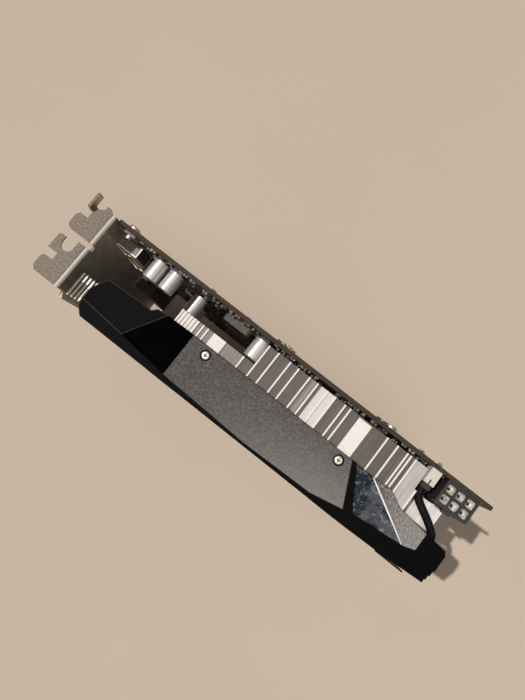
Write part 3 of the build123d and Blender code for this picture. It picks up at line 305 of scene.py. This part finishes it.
port_steel = finish("port_steel", (0.42, 0.37, 0.29), (0.60, 0.54, 0.43), (0.36, 0.5), metal=0.75,
                    scale=900.0, stretch=(0.2, 1, 1))
# The shells' broad top and bottom walls take a darker copy of the steel: painted shade.
steel_painted_shade = finish("steel_painted_shade", (0.16, 0.14, 0.115), (0.26, 0.23, 0.19), (0.5, 0.65), metal=0.2, shine=0.3)
flat_wall_area = 2e-6
for shell_node in ("hdmi_shell", "displayport_shell", "dvi_shell"):
    dress(port_steel, shell_node)
    finish_faces(steel_painted_shade, shell_node,
                 lambda face: abs(face.normal.z) > 0.95 and face.area > flat_wall_area)
black_plastic = finish("black_plastic", (0.010, 0.010, 0.010), (0.022, 0.022, 0.022), (0.45, 0.6),
                       scale=2600.0, bumps=0.00002)
dress(black_plastic, "hdmi_insert", "displayport_insert", "capacitor_bases", "dvi_insert")

bracket_inside = -0.0805
highlight_width = 0.0005
highlight_sink = 0.0002
highlight_proud = 0.00004
highlight_board_gap = 0.0012
# Thin strips along the HDMI shell's top edges, carrying the painted highlight.
shell_highlight_strips = bmesh.new()
hdmi_low, hdmi_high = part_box("hdmi_shell")
highlight_base = hdmi_high[2] - highlight_sink
highlight_top = hdmi_high[2] + highlight_proud
strip(shell_highlight_strips, (bracket_inside, hdmi_low[1], highlight_base),
      (hdmi_high[0], hdmi_low[1] + highlight_width, highlight_top))
strip(shell_highlight_strips, (hdmi_high[0] - highlight_width, hdmi_low[1] + highlight_width, highlight_base),
      (hdmi_high[0], board_front - highlight_board_gap, highlight_top))
new_piece(shell_highlight_strips, "shell_highlight_strips", painted_edge_highlight, "card")

contact_count = 10
contact_width = 0.00045
contact_thickness = 0.00012
contact_offset = 0.00097
contact_margin = 0.002
contact_start = 0.0005
contact_end = 0.006
spring_start = 0.004
spring_width = 0.0016
spring_profile = ((0, 0), (0.0045, 0), (0.0035, -0.0003), (0.0015, -0.0002))
port_contacts = bmesh.new()
port_springs = bmesh.new()
for port in ("hdmi", "displayport"):
    tongue_low, tongue_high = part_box(port + "_insert")
    shell_low, shell_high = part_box(port + "_shell")
    middle_y = (tongue_low[1] + tongue_high[1]) / 2
    contact_pitch = (tongue_high[2] - tongue_low[2] - 2 * contact_margin) / (contact_count - 1)
    for side in (-1, 1):
        face_y = middle_y + side * contact_offset
        for i in range(contact_count):
            z = tongue_low[2] + contact_margin + i * contact_pitch
            strip(port_contacts,
                  (tongue_low[0] + contact_start, face_y - contact_thickness / 2, z - contact_width / 2),
                  (tongue_low[0] + contact_end, face_y + contact_thickness / 2, z + contact_width / 2))
    for share in (0.3, 0.7):
        z = shell_low[2] + share * (shell_high[2] - shell_low[2])
        x = shell_low[0] + spring_start
        loft(port_springs, [[(x + run, shell_low[1] + rise, level) for run, rise in spring_profile]
                            for level in (z - spring_width / 2, z + spring_width / 2)])
new_piece(port_contacts, "port_contacts", hard_gold, "card")
new_piece(port_springs, "port_springs", port_steel, "card")

# ---------------------------------------------------------------------------------------------------
# Processor and memory. A silicon die on a green substrate under a film of thermal paste, and packages
# of black epoxy on bent tinned legs. The memory meets the heatsink through soft silicone pads.
# ---------------------------------------------------------------------------------------------------


def solids_of(name):
    """The low and high corners of each separate solid in a CAD node."""
    shape = bmesh.new()
    shape.from_mesh(nodes[name].data)
    bmesh.ops.remove_doubles(shape, verts=shape.verts, dist=1e-6)
    waiting = set(shape.verts)
    solids = []
    while waiting:
        edge_of_solid = [waiting.pop()]
        solid = list(edge_of_solid)
        while edge_of_solid:
            vert = edge_of_solid.pop()
            for edge in vert.link_edges:
                other = edge.other_vert(vert)
                if other in waiting:
                    waiting.remove(other)
                    edge_of_solid.append(other)
                    solid.append(other)
        low = [min(vert.co[axis] for vert in solid) for axis in range(3)]
        high = [max(vert.co[axis] for vert in solid) for axis in range(3)]
        solids.append((low, high))
    shape.free()
    return sorted(solids)


green_substrate = finish("green_substrate", (0.022, 0.075, 0.030), (0.035, 0.11, 0.045), (0.3, 0.5))
dress(green_substrate, "gpu_substrate")
silicon = finish("silicon", (0.13, 0.14, 0.17), (0.18, 0.19, 0.23), (0.08, 0.2), metal=0.6, scale=300.0)
dress(silicon, "gpu_die")
heat_paste = finish("heat_paste", (0.42, 0.42, 0.41), (0.62, 0.62, 0.60), (0.5, 0.7), scale=500.0,
                    bumps=0.0001)
dress(heat_paste, "thermal_paste")
pad_silicone = finish("pad_silicone", (0.36, 0.42, 0.49), (0.50, 0.57, 0.65), (0.75, 0.9), scale=700.0,
                      bumps=0.00005)
dress(pad_silicone, "memory_pads")
chip_epoxy = finish("chip_epoxy", (0.014, 0.014, 0.015), (0.028, 0.028, 0.030), (0.45, 0.65), scale=3000.0,
                    bumps=0.00001)
dress(chip_epoxy, "memory_chips", "mosfets", "control_chips")
solder = finish("solder", (0.045, 0.038, 0.028), (0.36, 0.33, 0.28), (0.48, 0.62), metal=0.25, shine=0.3,
                scale=260.0, bumps=0.00002)

leg_pitch = 0.00127
leg_width = 0.0004
leg_foil = 0.00014
leg_margin = 0.0004
leg_shoulder = 0.00045
leg_knee = 0.0006
leg_knee_drop = 0.0001
leg_heel = 0.0007
leg_ankle = 0.0008
leg_toe = 0.0012
chip_legs = bmesh.new()
for chip_node in ("control_chips", "mosfets"):
    for chip_low, chip_high in solids_of(chip_node):
        half = (board_front - chip_low[1]) / 2
        leg_profile = ((0, half), (leg_shoulder, half), (leg_knee, half - leg_knee_drop),
                       (leg_ankle, leg_foil), (leg_toe, leg_foil), (leg_toe, 0), (leg_heel, 0),
                       (leg_shoulder, half - leg_foil), (0, half - leg_foil))
        leg_count = max(2, round((chip_high[2] - chip_low[2] - 2 * leg_margin) / leg_pitch) + 1)
        first_leg = (chip_low[2] + chip_high[2] - (leg_count - 1) * leg_pitch) / 2
        for side, edge in ((-1, chip_low[0]), (1, chip_high[0])):
            for i in range(leg_count):
                z = first_leg + i * leg_pitch
                loft(chip_legs, [[(edge + side * out, board_front - rise, level) for out, rise in leg_profile]
                                 for level in (z - leg_width / 2, z + leg_width / 2)])
new_piece(chip_legs, "chip_leads", solder, "card")

# ---------------------------------------------------------------------------------------------------
# Power stage. Pressed ferrite chokes with flat copper tails, drawn aluminium can capacitors on moulded
# bases, and rows of small ceramic parts with tinned ends, all reflow soldered to the board.
# ---------------------------------------------------------------------------------------------------
ferrite = finish("ferrite", (0.075, 0.074, 0.056), (0.125, 0.122, 0.096), (0.55, 0.75), shine=0.3,
                 scale=1400.0, bumps=0.00004)
dress(ferrite, "chokes")
can_aluminium = finish("can_aluminium", (0.52, 0.50, 0.48), (0.62, 0.60, 0.57), (0.34, 0.42), metal=0.55,
                       scale=1800.0, stretch=(1, 0.04, 1))
dress(can_aluminium, "capacitor_cans")
ceramic = finish("ceramic", (0.018, 0.015, 0.012), (0.11, 0.080, 0.052), (0.4, 0.6), shine=0.3, scale=260.0)
dress(ceramic, "small_parts", "back_parts")

end_share = 0.24
end_height = 1.05
fillet_height = 0.6
fillet_reach = 0.00035
tin_skin = 0.00004
part_ends = bmesh.new()


def tinned_ends(shape, low, high, base, top):
    """A wrapped end and its solder fillet at each end of a small part, base being the board's side."""
    axis = 0 if high[0] - low[0] > high[2] - low[2] else 2
    across = 2 - axis
    rise = top - base
    for end, inward in ((low[axis] - tin_skin, 1), (high[axis] + tin_skin, -1)):
        wrap = inward * end_share * (high[axis] - low[axis])
        profile = [(end + wrap, base + end_height * rise), (end, base + end_height * rise),
                   (end, base + fillet_height * rise), (end - inward * fillet_reach, base),
                   (end + wrap, base)]
        rings = []
        for level in (low[across] - tin_skin, high[across] + tin_skin):
            ring = []
            for run, depth in profile:
                point = [0.0, depth, 0.0]
                point[axis] = run
                point[across] = level
                ring.append(point)
            rings.append(ring)
        loft(shape, rings)


for part_low, part_high in solids_of("small_parts"):
    tinned_ends(part_ends, part_low, part_high, board_front, part_low[1])
for part_low, part_high in solids_of("back_parts"):
    tinned_ends(part_ends, part_low, part_high, board_back, part_high[1])
new_piece(part_ends, "part_ends", solder, "card")

tail_half_length = 0.0022
tail_height = 0.0016
tail_inset = 0.0001
tail_reach = 0.0005
choke_tails = bmesh.new()
for choke_low, choke_high in solids_of("chokes"):
    choke_z = (choke_low[2] + choke_high[2]) / 2
    for edge, outward in ((choke_low[0], -1), (choke_high[0], 1)):
        tail_x = sorted((edge - outward * tail_inset, edge + outward * tail_reach))
        strip(choke_tails, (tail_x[0], board_front - tail_height, choke_z - tail_half_length),
              (tail_x[1], board_front, choke_z + tail_half_length))
new_piece(choke_tails, "choke_tails", solder, "card")

mark_share = 0.82
mark_turns = (-58, -29, 0, 29, 58)
mark_sink = 0.0001
mark_proud = 0.00004
can_marks = bmesh.new()
for can_low, can_high in solids_of("capacitor_cans"):
    can_x = (can_low[0] + can_high[0]) / 2
    can_z = (can_low[2] + can_high[2]) / 2
    mark_reach = mark_share * (can_high[0] - can_low[0]) / 2
    loft(can_marks, [[(can_x + mark_reach * math.cos(math.radians(turn)), depth,
                       can_z + mark_reach * math.sin(math.radians(turn))) for turn in mark_turns]
                     for depth in (can_low[1] + mark_sink, can_low[1] - mark_proud)])
new_piece(can_marks, "can_marks", black_plastic, "card")

# ---------------------------------------------------------------------------------------------------
# Heatsink. An aluminium base with thin upright fins, their rims folded over to the next fin, and two
# posts for the shroud's screws. The sheared ends are bright. Four sprung screws pull it down. The
# base's top between the fins is painted shade, the tail fins' flanks painted light, and the folded
# rims painted shade with painted highlights and lighter painted spans.
# ---------------------------------------------------------------------------------------------------


def along(material, axis):
    """The distance along one axis of the frame, in metres."""
    split = material.node_tree.nodes.new("ShaderNodeSeparateXYZ")
    link(material, place_on_piece(material), split.inputs["Vector"])
    return split.outputs[axis]


def both(material, first, second):
    """1 where both values are 1."""
    node = material.node_tree.nodes.new("ShaderNodeMath")
    node.operation = "MULTIPLY"
    link(material, first, node.inputs[0])
    link(material, second, node.inputs[1])
    return node.outputs["Value"]


def tint(material, factor, colour):
    """Lays a colour over the finish where the factor is 1."""
    base = shader_of(material).inputs["Base Color"]
    under = base.links[0].from_socket
    node = material.node_tree.nodes.new("ShaderNodeMix")
    node.data_type = "RGBA"
    colours = [socket for socket in node.inputs if socket.type == "RGBA"]
    colours[1].default_value = (*colour, 1.0)
    link(material, factor, node.inputs["Factor"])
    link(material, under, colours[0])
    mixed = [socket for socket in node.outputs if socket.type == "RGBA"][0]
    link(material, mixed, base)


sink_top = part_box("heatsink")[1][2]
sink_base_top = 0.0925
sink_base_depth = 0.0089
sink_aluminium = finish("sink_aluminium", (0.76, 0.715, 0.66), (0.84, 0.795, 0.74), (0.4, 0.5), metal=0.1,
                        scale=1500.0, stretch=(1, 1, 0.03), bumps=0.00001)
# The base's top between the fins is darkened: painted shade.
base_painted_shade = both(sink_aluminium,
               spread(sink_aluminium, along(sink_aluminium, "Y"), 0.0, 1.0,
                      start=sink_base_depth - 0.0006, end=sink_base_depth),
               spread(sink_aluminium, along(sink_aluminium, "Z"), 1.0, 0.0,
                      start=sink_base_top, end=sink_base_top + 0.0008))
tint(sink_aluminium, base_painted_shade, (0.30, 0.28, 0.26))
sheared_edge = finish("sheared_edge", (0.84, 0.79, 0.73), (0.91, 0.87, 0.82), (0.5, 0.65), shine=0.2,
                      scale=1500.0, stretch=(0.1, 1, 1))
# The tail fins' flanks take a near-white copy of the aluminium: painted light.
flank_painted_light = finish("flank_painted_light", (0.90, 0.85, 0.81), (0.97, 0.93, 0.89), (0.45, 0.6), shine=0.3,
                     scale=1500.0, stretch=(1, 1, 0.03))
# The folded rims are a dark copy of the aluminium, painted shade, with two bands of painted highlight.
rim_painted_shade = finish("rim_painted_shade", (0.115, 0.102, 0.089), (0.155, 0.140, 0.124), (0.5, 0.62), metal=0.1,
                    shine=0.2, scale=1500.0, stretch=(1, 0.05, 1))
rim_x = along(rim_painted_shade, "X")
sheen = both(rim_painted_shade, spread(rim_painted_shade, rim_x, 0.0, 0.5, start=0.0137, end=0.0157),
             spread(rim_painted_shade, rim_x, 1.0, 0.0, start=0.0158, end=0.0172))
tint(rim_painted_shade, sheen, (0.50, 0.46, 0.43))
rim_painted_highlight = both(rim_painted_shade, spread(rim_painted_shade, rim_x, 0.0, 1.0, start=0.0186, end=0.0190),
                  spread(rim_painted_shade, rim_x, 1.0, 0.0, start=0.0252, end=0.0254))
tint(rim_painted_shade, rim_painted_highlight, (0.70, 0.655, 0.62))
# Lighter copies of the rim laid on given spans along the card: painted light of three strengths.
plain_rim = dict(rough=(0.5, 0.62), shine=0.2, scale=1500.0, stretch=(1, 0.05, 1))
rim_painted_dim_light = finish("rim_painted_dim_light", (0.240, 0.215, 0.190), (0.310, 0.280, 0.252), **plain_rim)
rim_painted_full_light = finish("rim_painted_full_light", (0.66, 0.61, 0.58), (0.80, 0.74, 0.71), **plain_rim)
rim_painted_half_light = finish("rim_painted_half_light", (0.44, 0.405, 0.385), (0.56, 0.515, 0.49), **plain_rim)

upright = 0.9
rim_level = 0.0003
end_fin_top = sink_top - 0.0056
lit_flanks_start = 0.0640
rim_painted_light_spans = ((rim_painted_dim_light, ((-0.0325, -0.0108),)), (rim_painted_full_light, ((-0.0400, -0.0325), (0.0685, 0.0860))),
             (rim_painted_half_light, ((0.0625, 0.0685),)))


def on_rim(face):
    """True on the folded rims, and not on the fins' sheared ends."""
    fin_end = face.center.z > sink_top - rim_level or abs(face.center.z - end_fin_top) < rim_level
    return face.normal.z > upright and face.center.z > sink_base_top and not fin_end


dress(sink_aluminium, "heatsink")
finish_faces(sheared_edge, "heatsink",
             lambda face: abs(face.normal.z) > upright and face.center.z > sink_base_top)
finish_faces(flank_painted_light, "heatsink",
             lambda face: abs(face.normal.x) > upright and face.center.x > lit_flanks_start)
finish_faces(rim_painted_shade, "heatsink", on_rim)
for rim_finish, spans in rim_painted_light_spans:
    finish_faces(rim_finish, "heatsink", lambda face: on_rim(face) and any(
        start < face.center.x < end for start, end in spans))
spring_wire = finish("spring_wire", (0.36, 0.36, 0.36), (0.52, 0.52, 0.52), (0.25, 0.4), metal=1.0,
                     scale=2000.0)
dress(spring_wire, "cooler_springs")

# ---------------------------------------------------------------------------------------------------
# Power socket. A moulded dark housing with six cells, each round a tinned pin, with a bright crumpled
# sheet in each cell as a painted reflection of the pin and walls. The small pale header beside it
# takes the fans' plug.
# ---------------------------------------------------------------------------------------------------
socket_moulding = finish("socket_moulding", (0.024, 0.023, 0.021), (0.042, 0.040, 0.037), (0.4, 0.55),
                         shine=0.35, scale=1200.0)
dress(socket_moulding, "power_socket")
dress(black_plastic, "fan_plug")
dress(solder, "power_pins", "header_pins")
pale_moulding = finish("pale_moulding", (0.60, 0.565, 0.48), (0.70, 0.665, 0.58), (0.45, 0.6), scale=1800.0)
dress(pale_moulding, "fan_header")

# Bright crumpled sheets in the socket's cells: a painted reflection of the pins and cell walls.
cell_painted_reflection = finish("cell_painted_reflection", (0.30, 0.29, 0.27), (0.97, 0.95, 0.92), (0.3, 0.45), metal=0.25,
                      scale=700.0, bumps=0.0003)
socket_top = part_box("power_socket")[1][2]
pin_radius = 0.00055
cell_half = 0.00158
lining_foot = 0.00062
lining_lip = 0.0003
lining_depth = 0.0026
lining_curve = 0.7
lining_steps = 5
lining_sides = 20
fold_height = 0.0007
fold_scale_across = 1400
fold_scale_down = 900
cell_reflection_sheets = bmesh.new()
for pin_low, pin_high in solids_of("power_pins"):
    pin_x = (pin_low[0] + pin_high[0]) / 2
    pin_y = pin_low[1] + pin_radius
    rings = []
    for step in range(lining_steps + 1):
        share = step / lining_steps
        half = cell_half + (lining_foot - cell_half) * share
        depth = socket_top - lining_lip - lining_depth * share ** lining_curve
        ring = []
        for i in range(lining_sides):
            turn = 2 * math.pi * i / lining_sides
            squareness = 1 / max(abs(math.cos(turn)), abs(math.sin(turn)))
            reach = half * (squareness * (1 - share) + share)
            x = pin_x + reach * math.cos(turn)
            y = pin_y + reach * math.sin(turn)
            crease = wobble.noise(Vector((x * fold_scale_across, y * fold_scale_across,
                                          depth * fold_scale_down)))
            ring.append((x, y, depth + fold_height * crease * min(1, 3 * share)))
        rings.append(ring)
    loft(cell_reflection_sheets, rings, closed=False)
new_piece(cell_reflection_sheets, "cell_reflection_sheets", cell_painted_reflection, "card")

# ---------------------------------------------------------------------------------------------------
# Soldered legs. Every leg and pin that passes through the board ends on its back in a small cone of
# solder.
# ---------------------------------------------------------------------------------------------------
pin_stub = 0.0006
pin_reach = 0.0011
cone_half_sides = 7
cone_profile = ((0.00105, 0.0), (0.0009, 0.0002), (0.0006, 0.0005), (0.0005, 0.0011), (0.0002, 0.00135))
solder_cones = bmesh.new()
for pinned_node in ("hdmi_shell", "displayport_shell", "dvi_insert", "header_pins", "power_pins"):
    pins = []
    for vert in nodes[pinned_node].data.vertices:
        if vert.co.y > board_back + pin_stub:
            near = [pin for pin in pins if math.hypot(pin[0] - vert.co.x, pin[1] - vert.co.z) < pin_reach]
            if not near:
                pins.append([vert.co.x, vert.co.z, vert.co.x, vert.co.z])
                near = [pins[-1]]
            pin = near[0]
            pin[2] = max(pin[2], vert.co.x)
            pin[3] = max(pin[3], vert.co.z)
    for pin in pins:
        pin_x = (pin[0] + pin[2]) / 2
        pin_z = (pin[1] + pin[3]) / 2
        turns = [math.pi * i / cone_half_sides for i in range(2 * cone_half_sides)]
        loft(solder_cones, [[(pin_x + radius * math.cos(turn), board_back + rise,
                              pin_z + radius * math.sin(turn)) for turn in turns]
                            for radius, rise in cone_profile])
new_piece(solder_cones, "solder_cones", solder, "card")

# ---------------------------------------------------------------------------------------------------
# Shroud. Moulded in black, textured on the fan side, with stepped ridges along each long edge. Panels
# are laid into the edge: matte charcoal, gloss inserts and grey with a metal fleck. A painted highlight
# line parts the rear insert from the tail panel. The rear inserts carry painted reflections and
# painted highlights on their bevels, the charcoal panels' bevels a painted reflection, the grey panels
# a painted sheen, and the screws' recesses painted shade.
# ---------------------------------------------------------------------------------------------------
shroud_moulding = finish("shroud_moulding", (0.0012, 0.0012, 0.0015), (0.0024, 0.0024, 0.0027), (0.55, 0.6),
                         shine=0.05, scale=600.0)
dress(shroud_moulding, "shroud")
textured_black = finish("textured_black", (0.0075, 0.0075, 0.008), (0.0125, 0.0125, 0.013), (0.42, 0.55),
                        shine=0.4, scale=2200.0, bumps=0.00003)
finish_faces(textured_black, "shroud", lambda face: face.normal.z < 0.2)
matte_charcoal = finish("matte_charcoal", (0.003, 0.0028, 0.0026), (0.008, 0.0075, 0.007), (0.66, 0.78),
                        shine=0.06, scale=2600.0, bumps=0.00002)
dress(matte_charcoal, "front_panels", "fan_bezels")
piano_black = finish("piano_black", (0.0006, 0.0007, 0.0009), (0.0012, 0.0013, 0.0016), (0.05, 0.10),
                     shine=0.03, scale=120.0)
dress(piano_black, "front_gloss_inserts", "front_wedges", "left_fan_hub_cap", "right_fan_hub_cap")
smoky_gloss = finish("smoky_gloss", (0.002, 0.005, 0.012), (0.010, 0.016, 0.030), (0.10, 0.18), shine=0.05,
                     scale=300.0)
# Bluish patches and pale streaks in the rear inserts' colour: painted reflection.
painted_reflection_clouds = grain(smoky_gloss, place_on_piece(smoky_gloss), 150.0, 2.0)
painted_reflection_streaks = grain(smoky_gloss, place_on_piece(smoky_gloss), 620.0, 6.0, 0.75)
tint(smoky_gloss, spread(smoky_gloss, painted_reflection_clouds, 0.0, 0.65, start=0.46, end=0.60), (0.105, 0.108, 0.125))
tint(smoky_gloss, spread(smoky_gloss, painted_reflection_streaks, 0.0, 1.0, start=0.52, end=0.72), (0.270, 0.285, 0.315))
dress(smoky_gloss, "rear_gloss_inserts")


def on_bevel(face):
    """True on the sloping edge round a panel."""
    return 0.2 < abs(face.normal.z) < 0.95


# Pale rear insert bevels facing the tail, and the line between insert and tail panel: painted highlight.
lit_bevel = finish("lit_bevel", (0.72, 0.70, 0.68), (0.92, 0.90, 0.88), (0.4, 0.5), scale=900.0)
finish_faces(lit_bevel, "rear_gloss_inserts", lambda face: on_bevel(face) and face.normal.x > 0.25)
# The charcoal panels' sloping edges are lighter than the panels: painted reflection.
bevel_painted_reflection = finish("bevel_painted_reflection", (0.045, 0.043, 0.041), (0.075, 0.072, 0.070), (0.5, 0.6), scale=900.0)
finish_faces(bevel_painted_reflection, "front_panels", on_bevel)

# A thin pale strip between the rear insert and the tail panel, at the card's top and bottom: painted
# highlight.
edge_start = Vector((0.0531, -0.0008, 0.11672))
edge_end = Vector((0.0747, -0.0132, 0.11672))
edge_across = (edge_end - edge_start).cross(Vector((0, 0, 1))).normalized()
edge_widths = ((0.0, 0.0003), (0.12, 0.0006), (0.55, 0.0006), (0.8, 0.0003), (1.0, 0.0002))
edge_sink = 0.0004
edge_crown = 0.00003
edge_corners = ((-1, -edge_sink), (1, -edge_sink), (1, 0.0), (-1, edge_crown))
insert_low, insert_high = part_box("rear_gloss_inserts")
painted_highlight_lines = bmesh.new()
for mirrored_side in (False, True):
    rings = []
    for share, width in edge_widths:
        middle = edge_start.lerp(edge_end, share)
        ring = [middle + edge_across * side * width / 2 + Vector((0, 0, rise)) for side, rise in edge_corners]
        if mirrored_side:
            ring = [Vector((point.x, point.y, insert_low[2] + insert_high[2] - point.z))
                    for point in ring][::-1]
        rings.append(ring)
    loft(painted_highlight_lines, rings)
new_piece(painted_highlight_lines, "painted_highlight_lines", lit_bevel, "card")


def flecked_paint(name, dark, light, fleck):
    """Dark paint with a fine metal fleck, each fleck tipped its own way."""
    material = finish(name, dark, light, scale=2200.0)
    shader = shader_of(material)
    cells = material.node_tree.nodes.new("ShaderNodeTexVoronoi")
    cells.inputs["Scale"].default_value = 2700.0
    link(material, place_on_piece(material), cells.inputs["Vector"])
    chance = material.node_tree.nodes.new("ShaderNodeSeparateColor")
    link(material, cells.outputs["Color"], chance.inputs["Color"])
    tint(material, spread(material, chance.outputs["Red"], 0.0, 1.0, start=0.55, end=1.0), fleck)
    link(material, spread(material, chance.outputs["Green"], 0.40, 0.56, start=0.0, end=1.0),
         shader.inputs["Roughness"])
    shader.inputs["Specular IOR Level"].default_value = 0.35
    relief(material, chance.outputs["Blue"], depth=0.00002, strength=0.3)
    return material


main_paint = flecked_paint("main_paint", (0.0125, 0.0100, 0.0088), (0.0215, 0.0180, 0.0160),
                           (0.112, 0.100, 0.090))
# Lighter towards the tail end and the fan-side edge: painted sheen.
panel_painted_sheen = both(main_paint, spread(main_paint, along(main_paint, "X"), 0.0, 0.42, start=-0.025, end=0.040),
             spread(main_paint, along(main_paint, "Y"), 1.0, 0.25, start=-0.020, end=0.002))
tint(main_paint, panel_painted_sheen, (0.42, 0.385, 0.36))
dress(main_paint, "main_panels")
tail_paint = flecked_paint("tail_paint", (0.055, 0.047, 0.041), (0.085, 0.074, 0.067), (0.36, 0.33, 0.31))
# Lighter towards the tail: painted sheen.
tail_painted_sheen = spread(tail_paint, along(tail_paint, "X"), 0.0, 0.48, start=0.057, end=0.074)
tint(tail_paint, tail_painted_sheen, (0.38, 0.355, 0.345))
dress(tail_paint, "tail_panels")

card_middle = 0.06
recess_radius = 0.00125
recess_top = 0.00015
recess_floor = 0.001
screw_solids = solids_of("shroud_screws")


def in_recess(face):
    """True inside the cross recess of a shroud screw's head."""
    for low, high in screw_solids:
        head_z = high[2] if high[2] > card_middle else low[2]
        off_axis = math.hypot(face.center.x - (low[0] + high[0]) / 2, face.center.y - (low[1] + high[1]) / 2)
        if off_axis < recess_radius and recess_top < abs(face.center.z - head_z) < recess_floor:
            return True
    return False


brass_screw = finish("brass_screw", (0.74, 0.69, 0.58), (0.88, 0.83, 0.72), (0.3, 0.42), metal=0.5,
                     scale=1500.0)
dress(brass_screw, "shroud_screws")
# The cross recesses are dark: painted shade.
recess_painted_shade = finish("recess_painted_shade", (0.020, 0.016, 0.010), (0.045, 0.036, 0.022), (0.5, 0.7), shine=0.2,
                     scale=1500.0)
finish_faces(recess_painted_shade, "shroud_screws", in_recess)

# ---------------------------------------------------------------------------------------------------
# Fans. Two moulded impellers on steel shafts, each in a sleeve bearing on a three-armed motor mount
# that is screwed to the back of the shroud. Copper coils on a laminated core drive a ring magnet.
# ---------------------------------------------------------------------------------------------------
fan_moulding = finish("fan_moulding", (0.010, 0.010, 0.011), (0.018, 0.018, 0.019), (0.34, 0.5),
                      scale=1300.0, bumps=0.00002)
dress(fan_moulding, "left_fan_impeller", "right_fan_impeller", "left_fan_mount", "right_fan_mount")
lamination = finish("lamination", (0.15, 0.155, 0.17), (0.25, 0.26, 0.28), (0.3, 0.5), metal=0.85,
                    scale=3000.0, stretch=(0.05, 1, 0.05), bumps=0.00003)
dress(lamination, "stator_cores", "left_fan_back_iron", "right_fan_back_iron")
bonded_ferrite = finish("bonded_ferrite", (0.032, 0.032, 0.034), (0.058, 0.058, 0.062), (0.6, 0.8),
                        scale=1500.0, bumps=0.00003)
dress(bonded_ferrite, "left_fan_magnet", "right_fan_magnet")
ground_steel = finish("ground_steel", (0.62, 0.62, 0.63), (0.75, 0.75, 0.76), (0.12, 0.24), metal=1.0,
                      scale=2000.0)
dress(ground_steel, "left_fan_shaft", "right_fan_shaft")
sintered_bronze = finish("sintered_bronze", (0.40, 0.26, 0.12), (0.60, 0.40, 0.20), (0.4, 0.6), metal=0.9,
                         scale=3000.0, bumps=0.00002)
dress(sintered_bronze, "fan_bearings")
enamelled_copper = finish("enamelled_copper", (0.50, 0.19, 0.06), (0.75, 0.32, 0.13), (0.25, 0.4), metal=0.9,
                          scale=1600.0, stretch=(1, 6, 1), bumps=0.00008)
dress(enamelled_copper, "stator_coils")
motor_mask = finish("motor_mask", (0.022, 0.11, 0.045), (0.035, 0.16, 0.07), (0.35, 0.55), scale=700.0)
dress(motor_mask, "motor_boards")
black_zinc = finish("black_zinc", (0.014, 0.014, 0.016), (0.028, 0.028, 0.030), (0.3, 0.45), metal=0.7,
                    scale=1500.0)
dress(black_zinc, "fan_screws")

# ---------------------------------------------------------------------------------------------------
# Studio. A plain pale floor, a far main light from the bracket's side that lights it evenly, a weaker
# soft lamp above the tail, and a pale backdrop that glossy surfaces mirror only dimly.
# ---------------------------------------------------------------------------------------------------
floor_paint = finish("floor_paint", (0.575, 0.480, 0.385), (0.590, 0.492, 0.395), (0.75, 0.85), shine=0.2,
                     scale=6.0)
floor_reach = 3.0
floor_shape = bmesh.new()
floor_shape.faces.new([floor_shape.verts.new((side_x * floor_reach, side_y * floor_reach, 0))
                       for side_x, side_y in ((-1, -1), (1, -1), (1, 1), (-1, 1))])
floor_mesh = bpy.data.meshes.new("floor")
floor_shape.to_mesh(floor_mesh)
floor_shape.free()
floor_mesh.materials.append(floor_paint)
floor = put_in_scene("floor", floor_mesh)

ambient_level = 0.12
backdrop_level = 0.62
mirrored_level = 0.26
world = bpy.data.worlds.new("studio")
bpy.context.scene.world = world
world.use_nodes = True
air = world.node_tree
ambient = air.nodes["Background"]
ambient.inputs["Color"].default_value = (1.0, 0.97, 0.93, 1.0)
rays = air.nodes.new("ShaderNodeLightPath")
brighter = air.nodes.new("ShaderNodeMath")
brighter.operation = "MAXIMUM"
for ray_kind, least, most, target in (("Is Camera Ray", ambient_level, backdrop_level, brighter.inputs[0]),
                                      ("Is Glossy Ray", 0.0, mirrored_level, brighter.inputs[1])):
    seen = air.nodes.new("ShaderNodeMapRange")
    seen.inputs["To Min"].default_value = least
    seen.inputs["To Max"].default_value = most
    air.links.new(rays.outputs[ray_kind], seen.inputs["Value"])
    air.links.new(seen.outputs["Result"], target)
air.links.new(brighter.outputs["Value"], ambient.inputs["Strength"])

main_lamp = bpy.data.lights.new("main_light", "SUN")
main_lamp.angle = math.radians(0.9)
main_lamp.energy = 2.55
main_lamp.color = (1.0, 0.97, 0.93)
main_side = Vector((-0.447, -0.01, 0.894))
main_light = put_in_scene("main_light", main_lamp)
main_light.location = main_side
main_light.rotation_euler = main_side.to_track_quat("Z", "Y").to_euler()

tail_lamp = bpy.data.lights.new("tail_light", "AREA")
tail_lamp.size = 0.30
tail_lamp.energy = 1.5
tail_lamp.color = (1.0, 0.97, 0.94)
tail_side = Vector((0.24, -0.13, 0.95))
tail_light = put_in_scene("tail_light", tail_lamp)
tail_light.location = tail_side
tail_light.rotation_euler = (Vector((0, 0, card_middle)) - tail_side).to_track_quat("-Z", "Y").to_euler()
bpy.context.scene.view_settings.view_transform = "Standard"
